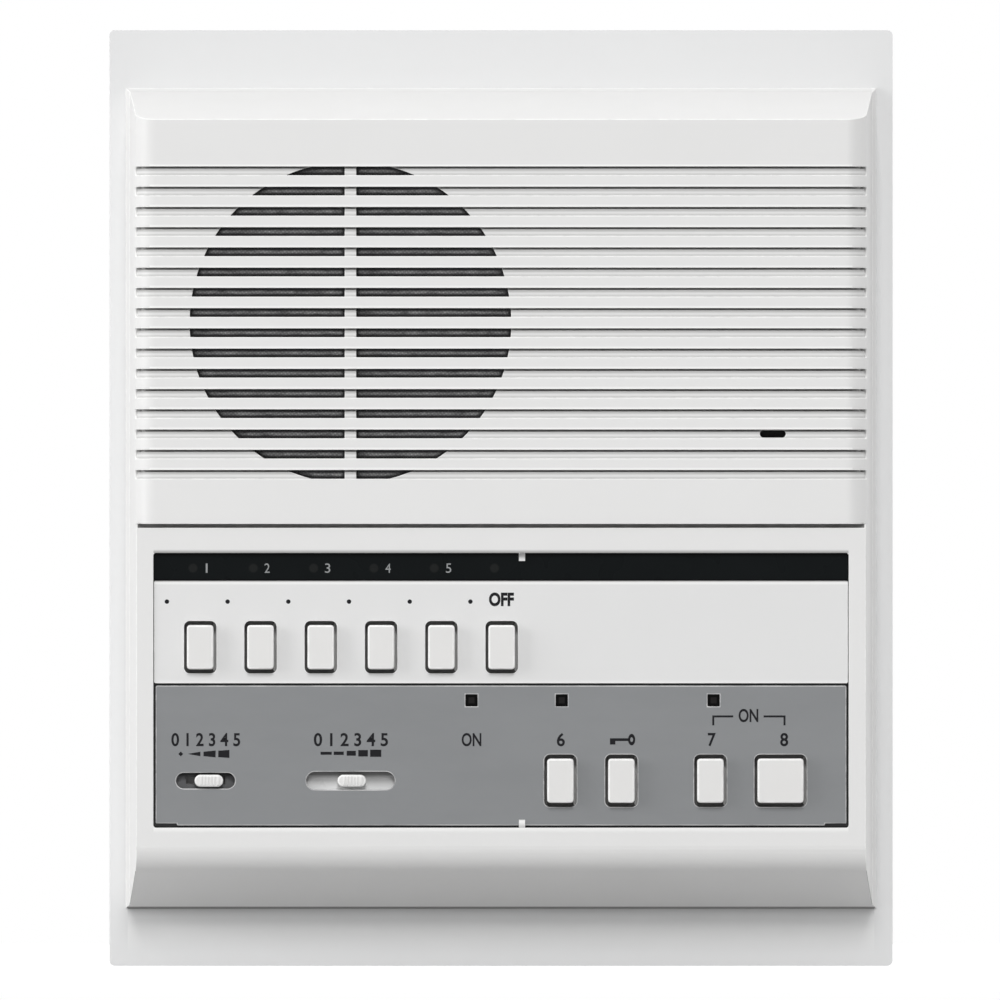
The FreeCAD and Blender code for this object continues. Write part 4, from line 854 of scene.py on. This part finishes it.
def makeCloth(node, look):
    # stretched disc that bulges a little into each gap between the louvres
    low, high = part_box(node)
    middle = (low + high) / 2
    radius = (high.x - low.x) / 2
    bm = bmesh.new()
    bmesh.ops.create_grid(bm, x_segments=look["across"], y_segments=look["upward"], size=radius)
    outside = [vert for vert in bm.verts if vert.co.length > radius * look["trim"]]
    bmesh.ops.delete(bm, geom=outside, context="VERTS")
    for vert in bm.verts:
        if vert.is_boundary:
            vert.co *= radius / vert.co.length
    bmesh.ops.rotate(bm, matrix=Matrix.Rotation(math.pi / 2, 3, "X"), verts=bm.verts)
    bmesh.ops.translate(bm, vec=middle, verts=bm.verts)
    for vert in bm.verts:
        x, z = vert.co.x / mm, vert.co.z / mm
        turn = ((louvres["top"] - z) / louvres["pitch"]) % 1.0
        inGap = max(0.0, 1 - abs(turn / look["gapShare"] * 2 - 1)) if turn < look["gapShare"] else 0.0
        inside = 1.0 if math.hypot(x - middle.x / mm, z - middle.z / mm) < look["open"] else 0.0
        wave = math.sin(x * look["wave"] + look["sway"] * math.sin(z * look["swayTurn"]))
        ripple = 1 - look["ripple"] + look["ripple"] * wave * math.sin(x * look["slant"] + z)
        vert.co.y -= look["bulge"] * mm * inside * ripple * math.sin(inGap * math.pi / 2) ** 2
    bmesh.ops.solidify(bm, geom=list(bm.faces), thickness=look["thickness"] * mm)
    bmesh.ops.recalc_face_normals(bm, faces=bm.faces)
    return bm


cloth = {"across": 60, "upward": 168, "trim": 0.985, "thickness": 0.2, "bulge": 0.35, "gapShare": 0.43,
         "open": 35.0, "ripple": 0.3, "wave": 0.9, "sway": 2.1, "swayTurn": 0.31, "slant": 0.23}
clothPiece = placePiece("speakerCloth", makeCloth("speaker_cloth", cloth), "chassis", "speakerFabric",
                        ["speaker_cloth"])
print("speaker cloth placed")


# printed marks, a thin film of ink on the plates

ink = {"thickness": 0.02, "sink": 0.01, "merge": 0.01, "curveSteps": 6}
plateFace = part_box("legend_plate")[0].y
inkPlane = Matrix.Rotation(math.pi / 2, 3, "X")  # stands a flat shape up to face the front


def placeMark(name, bm, material):
    # a flat mark in the XZ plane gets its thickness and its place on the plate's face
    flat = list(bm.faces)
    pulled = bmesh.ops.extrude_face_region(bm, geom=flat)
    verts = [item for item in pulled["geom"] if isinstance(item, bmesh.types.BMVert)]
    bmesh.ops.translate(bm, vec=(0, -ink["thickness"] * mm, 0), verts=verts)
    bmesh.ops.translate(bm, vec=(0, plateFace + ink["sink"] * mm, 0), verts=bm.verts)
    bmesh.ops.recalc_face_normals(bm, faces=bm.faces)
    return placePiece(name, bm, "chassis", material)


def addBar(bm, x, z, leftHeight, rightHeight=None):
    # bar from x[0] to x[1]; with two heights it grows from left to right
    made = bmesh.ops.create_grid(bm, x_segments=1, y_segments=1, size=0.5)["verts"]
    bmesh.ops.rotate(bm, matrix=inkPlane, verts=made)
    for vert in made:
        left = vert.co.x < 0
        height = leftHeight if left else rightHeight or leftHeight
        vert.co.z = math.copysign(height / 2, vert.co.z) * mm + z * mm
        vert.co.x = (x[0] if left else x[1]) * mm


def addDot(bm, x, z, radius, segments=20):
    made = bmesh.ops.create_circle(bm, cap_ends=True, segments=segments, radius=radius * mm)["verts"]
    bmesh.ops.rotate(bm, matrix=inkPlane, verts=made)
    bmesh.ops.translate(bm, vec=(x * mm, 0, z * mm), verts=made)


def placeWord(name, words, x, z, height, width, material, weight=0.0):
    # x and z are the centre, width the whole width, all in millimetres
    curve = bpy.data.curves.new(name, "FONT")
    curve.body = words
    curve.align_x = "CENTER"
    curve.resolution_u = ink["curveSteps"]
    curve.offset = weight
    holder = addObject(name + "Curve", curve)
    bpy.context.view_layer.update()
    mesh = bpy.data.meshes.new_from_object(holder.evaluated_get(bpy.context.evaluated_depsgraph_get()))
    bpy.data.objects.remove(holder)
    bm = bmesh.new()
    bm.from_mesh(mesh)
    bpy.data.meshes.remove(mesh)
    bmesh.ops.remove_doubles(bm, verts=bm.verts, dist=ink["merge"] * mm)
    xs = [vert.co.x for vert in bm.verts]
    ys = [vert.co.y for vert in bm.verts]
    wide = max(xs) - min(xs)
    tall = max(ys) - min(ys)
    bmesh.ops.translate(bm, vec=(-(max(xs) + min(xs)) / 2, -(max(ys) + min(ys)) / 2, 0), verts=bm.verts)
    bmesh.ops.scale(bm, vec=(width * mm / wide, height * mm / tall, 1), verts=bm.verts)
    bmesh.ops.rotate(bm, matrix=inkPlane, verts=bm.verts)
    bmesh.ops.translate(bm, vec=(x * mm, 0, z * mm), verts=bm.verts)
    return placeMark(name, bm, material)


words = {
    # piece: (words, centre x, centre z, height, width, weight)
    "markOff": ("OFF", 0.1, -22.7, 3.1, 5.6, 0.045),
    "markMusicScale": ("0 1 2 3 4 5", -66.1, -54.1, 3.0, 15.4, 0.022),
    "markVoiceScale": ("0 1 2 3 4 5", -33.6, -54.1, 3.0, 16.6, 0.022),
    "markLampOn": ("ON", -6.6, -54.1, 3.0, 4.4, 0.022),
    "markKeySix": ("6", 13.4, -54.1, 3.0, 1.8, 0.022),
    "markKeySeven": ("7", 47.2, -54.1, 3.0, 1.8, 0.022),
    "markKeyEight": ("8", 63.4, -54.1, 3.0, 1.8, 0.022),
    "markPairOn": ("ON", 55.4, -48.7, 3.0, 4.4, 0.022),
}
for name, (label, x, z, height, width, weight) in words.items():
    placeWord(name, label, x, z, height, width, "darkInk", weight)
stationNumber = {"first": -65.9, "pitch": 13.54, "row": -15.7, "height": 2.1, "width": 1.2, "narrow": 0.4}
for index, number in enumerate("12345"):
    look = stationNumber
    width = look["narrow"] if number == "1" else look["width"]
    x = look["first"] + look["pitch"] * index
    placeWord("markStation" + number, number, x, look["row"], look["height"], width, "paleInk")

stationDot = {"first": -74.8, "pitch": 13.59, "row": -23.2, "radius": 0.5, "count": 6}
bm = bmesh.new()
for index in range(stationDot["count"]):
    addDot(bm, stationDot["first"] + stationDot["pitch"] * index, stationDot["row"], stationDot["radius"])
placeMark("markDots", bm, "darkInk")

wedge = {"row": -57.3, "dot": -71.7, "dotRadius": 0.55,
         "bars": [(-69.95, -67.3, 0.1, 1.0), (-66.6, -63.9, 1.0, 1.55), (-63.3, -60.8, 1.45, 1.8)]}
bm = bmesh.new()
addDot(bm, wedge["dot"], wedge["row"], wedge["dotRadius"], segments=4)
for left, right, small, large in wedge["bars"]:
    addBar(bm, (left, right), wedge["row"], small, large)
placeMark("markWedges", bm, "darkInk")

steps = {"row": -57.15, "bars": [(-40.4, -37.9, 0.66), (-37.45, -35.2, 0.75), (-34.55, -32.5, 1.1),
                                 (-31.95, -29.8, 1.45), (-29.3, -26.8, 1.6)]}
bm = bmesh.new()
for left, right, height in steps["bars"]:
    addBar(bm, (left, right), steps["row"], height)
placeMark("markSteps", bm, "darkInk")

bracket = {"top": -48.9, "drop": 2.0, "line": 0.45, "left": (47.3, 52.0), "right": (58.8, 63.7)}
bm = bmesh.new()
addBar(bm, bracket["left"], bracket["top"], bracket["line"])
addBar(bm, bracket["right"], bracket["top"], bracket["line"])
legHeight = bracket["drop"] - bracket["line"] / 2
legMiddle = bracket["top"] - bracket["drop"] / 2 - bracket["line"] / 4
for edge, side in ((bracket["left"][0], 1), (bracket["right"][1], -1)):
    addBar(bm, sorted((edge, edge + side * bracket["line"])), legMiddle, legHeight)
placeMark("markBrackets", bm, "darkInk")

doorKey = {"row": -54.1, "bowX": 29.25, "bow": 1.0, "hole": 0.4, "squash": (0.8, 1, 1.3), "steps": 24,
           "shaft": (24.4, 28.6), "line": 0.62, "bit": (24.4, 25.6), "bitDrop": 0.45, "bitHeight": 1.3}
bm = bmesh.new()
for radius in (doorKey["bow"], doorKey["hole"]):
    bmesh.ops.create_circle(bm, segments=doorKey["steps"], radius=radius * mm)
bmesh.ops.bridge_loops(bm, edges=bm.edges)
bmesh.ops.rotate(bm, matrix=inkPlane, verts=bm.verts)
bmesh.ops.scale(bm, vec=doorKey["squash"], verts=bm.verts)
bmesh.ops.translate(bm, vec=(doorKey["bowX"] * mm, 0, doorKey["row"] * mm), verts=bm.verts)
addBar(bm, doorKey["shaft"], doorKey["row"], doorKey["line"])
addBar(bm, doorKey["bit"], doorKey["row"] - doorKey["bitDrop"], doorKey["bitHeight"])
placeMark("markDoorKey", bm, "darkInk")
print("printed marks placed")


# carried-over nodes keep their shape and get their own finish

carried = {
    # finish: nodes
    "darkPlastic": ["panel_carrier", "lamp_holder"],
    "switchPlastic": ["selector_switch_bank", "function_switches", "slider_bodies"],
    "stemPlastic": [node for node in nodes if "plunger" in node],
    "lampRed": ["indicator_lamps"],
    "boardSheet": ["main_board"],
    "chipPlastic": ["board_chips"],
    "canSleeve": ["board_capacitors"],
    "ironCore": ["audio_transformer"],
    "foamRing": ["speaker_gasket", "speaker_surround"],
    "pressedSteel": ["speaker_basket", "speaker_yoke", "speaker_clamps", "latch_bar", "voice_slider_lever"],
    "blackedSteel": ["music_slider_lever"],
    "conePaper": ["speaker_cone", "speaker_dust_cap"],
    "ferrite": ["speaker_magnet"],
    "leadSleeve": ["speaker_leads"],
    "bootRubber": ["microphone_boot"],
    "capsuleMetal": ["microphone_capsule"],
    "screwSteel": ["tapping_screws"],
}
for finish, names in carried.items():
    for node in names:
        nodes[node].data.materials.clear()
        nodes[node].data.materials.append(materials[finish])
print("carried-over nodes dressed:", sum(len(names) for names in carried.values()))


# floor, light and camera

stageLook = {"floorDrop": 0.2, "floorSize": 900.0, "floorColour": (0.5, 0.5, 0.5), "glow": 0.71}


def seenRays(tree):
    # 1 for the rays that show the white paper: to the camera, in a reflection or through glass
    light = addNode(tree, "LightPath")
    seen = mathNode(tree, "MAXIMUM", light.outputs["Is Camera Ray"], light.outputs["Is Glossy Ray"])
    return mathNode(tree, "MAXIMUM", seen, light.outputs["Is Transmission Ray"])


def makeFloor(look):
    bm = bmesh.new()
    bmesh.ops.create_grid(bm, x_segments=2, y_segments=2, size=look["floorSize"] / 2 * mm)
    bmesh.ops.translate(bm, vec=(0, 0, cadBox[0].z - look["floorDrop"] * mm), verts=bm.verts)
    mesh = bpy.data.meshes.new("studioFloor")
    bm.to_mesh(mesh)
    bm.free()
    floor = addObject("studioFloor", mesh)
    material = bpy.data.materials.new("floorPaper")
    material.use_nodes = True
    tree = material.node_tree
    tree.nodes.clear()
    paper = addNode(tree, "BsdfDiffuse", Color=(*look["floorColour"], 1))
    glow = addNode(tree, "Emission", Color=(1, 1, 1, 1), Strength=look["glow"])
    both = addNode(tree, "AddShader", [(0, paper.outputs[0]), (1, glow.outputs[0])])
    mix = addNode(tree, "MixShader", [(0, seenRays(tree)), (1, paper.outputs[0]), (2, both.outputs[0])])
    addNode(tree, "OutputMaterial", Surface=mix.outputs[0])
    mesh.materials.append(material)


makeFloor(stageLook)

lamps = {
    # name: (direction from the object, distance, width, height, power)
    "keyLamp": ((0.0, -0.82, 0.57), 2.4, 0.6, 0.6, 25.5),
    "leftLamp": ((-0.9, -0.35, 0.20), 2.4, 1.1, 1.1, 16.5),
}
for name, (direction, distance, width, height, power) in lamps.items():
    data = bpy.data.lights.new(name, "AREA")
    data.shape = "RECTANGLE"
    data.size = width
    data.size_y = height
    data.energy = power
    lamp = addObject(name, data)
    toward = Vector(direction).normalized()
    lamp.location = toward * distance
    lamp.rotation_euler = toward.to_track_quat("Z", "Y").to_euler()
    lamp.visible_camera = False

sky = {
    # name: (where the light comes from, strength)
    "left": ((-1, 0, 0), 0.71),
    "right": ((1, 0, 0), 0.58),
    "behind": ((0, 1, 0), 1.0),
    "above": ((0, 0, 1), 0.48),
}
world = bpy.data.worlds.new("studioRoom")
bpy.context.scene.world = world
world.use_nodes = True
tree = world.node_tree
tree.nodes.clear()
place = addNode(tree, "TexCoord")
# the room gives soft light from both sides, from behind and from above
level = 0.0
for toward, strength in sky.values():
    pair = [(0, place.outputs["Generated"]), (1, toward)]
    lean = addNode(tree, "VectorMath", pair, operation="DOT_PRODUCT")
    side = mathNode(tree, "MAXIMUM", lean.outputs["Value"], 0.0)
    level = mathNode(tree, "MULTIPLY_ADD", side, strength, level)
strength = addNode(tree, "Mix", [(0, seenRays(tree)), (2, level), (3, 1.0)], data_type="FLOAT")
background = addNode(tree, "Background", Strength=strength.outputs[0], Color=(1, 1, 1, 1))
addNode(tree, "OutputWorld", Surface=background.outputs[0])
print("floor and light set")

# the plane at this depth fills the frame with this width; the distance is in metres
view = {"distance": 9.0, "width": 224.15, "plane": -14.0, "x": -0.224, "z": -0.448, "sensor": 36.0}
cameraData = bpy.data.cameras.new("frontCamera")
cameraData.sensor_width = view["sensor"]
cameraData.lens = view["sensor"] * view["distance"] / (view["width"] * mm)
cameraData.clip_end = 2 * view["distance"]
camera = addObject("frontCamera", cameraData)
camera.location = (view["x"] * mm, view["plane"] * mm - view["distance"], view["z"] * mm)
camera.rotation_euler = (math.pi / 2, 0, 0)
bpy.context.scene.camera = camera
bpy.context.scene.view_settings.view_transform = "Standard"

print("scene finished")
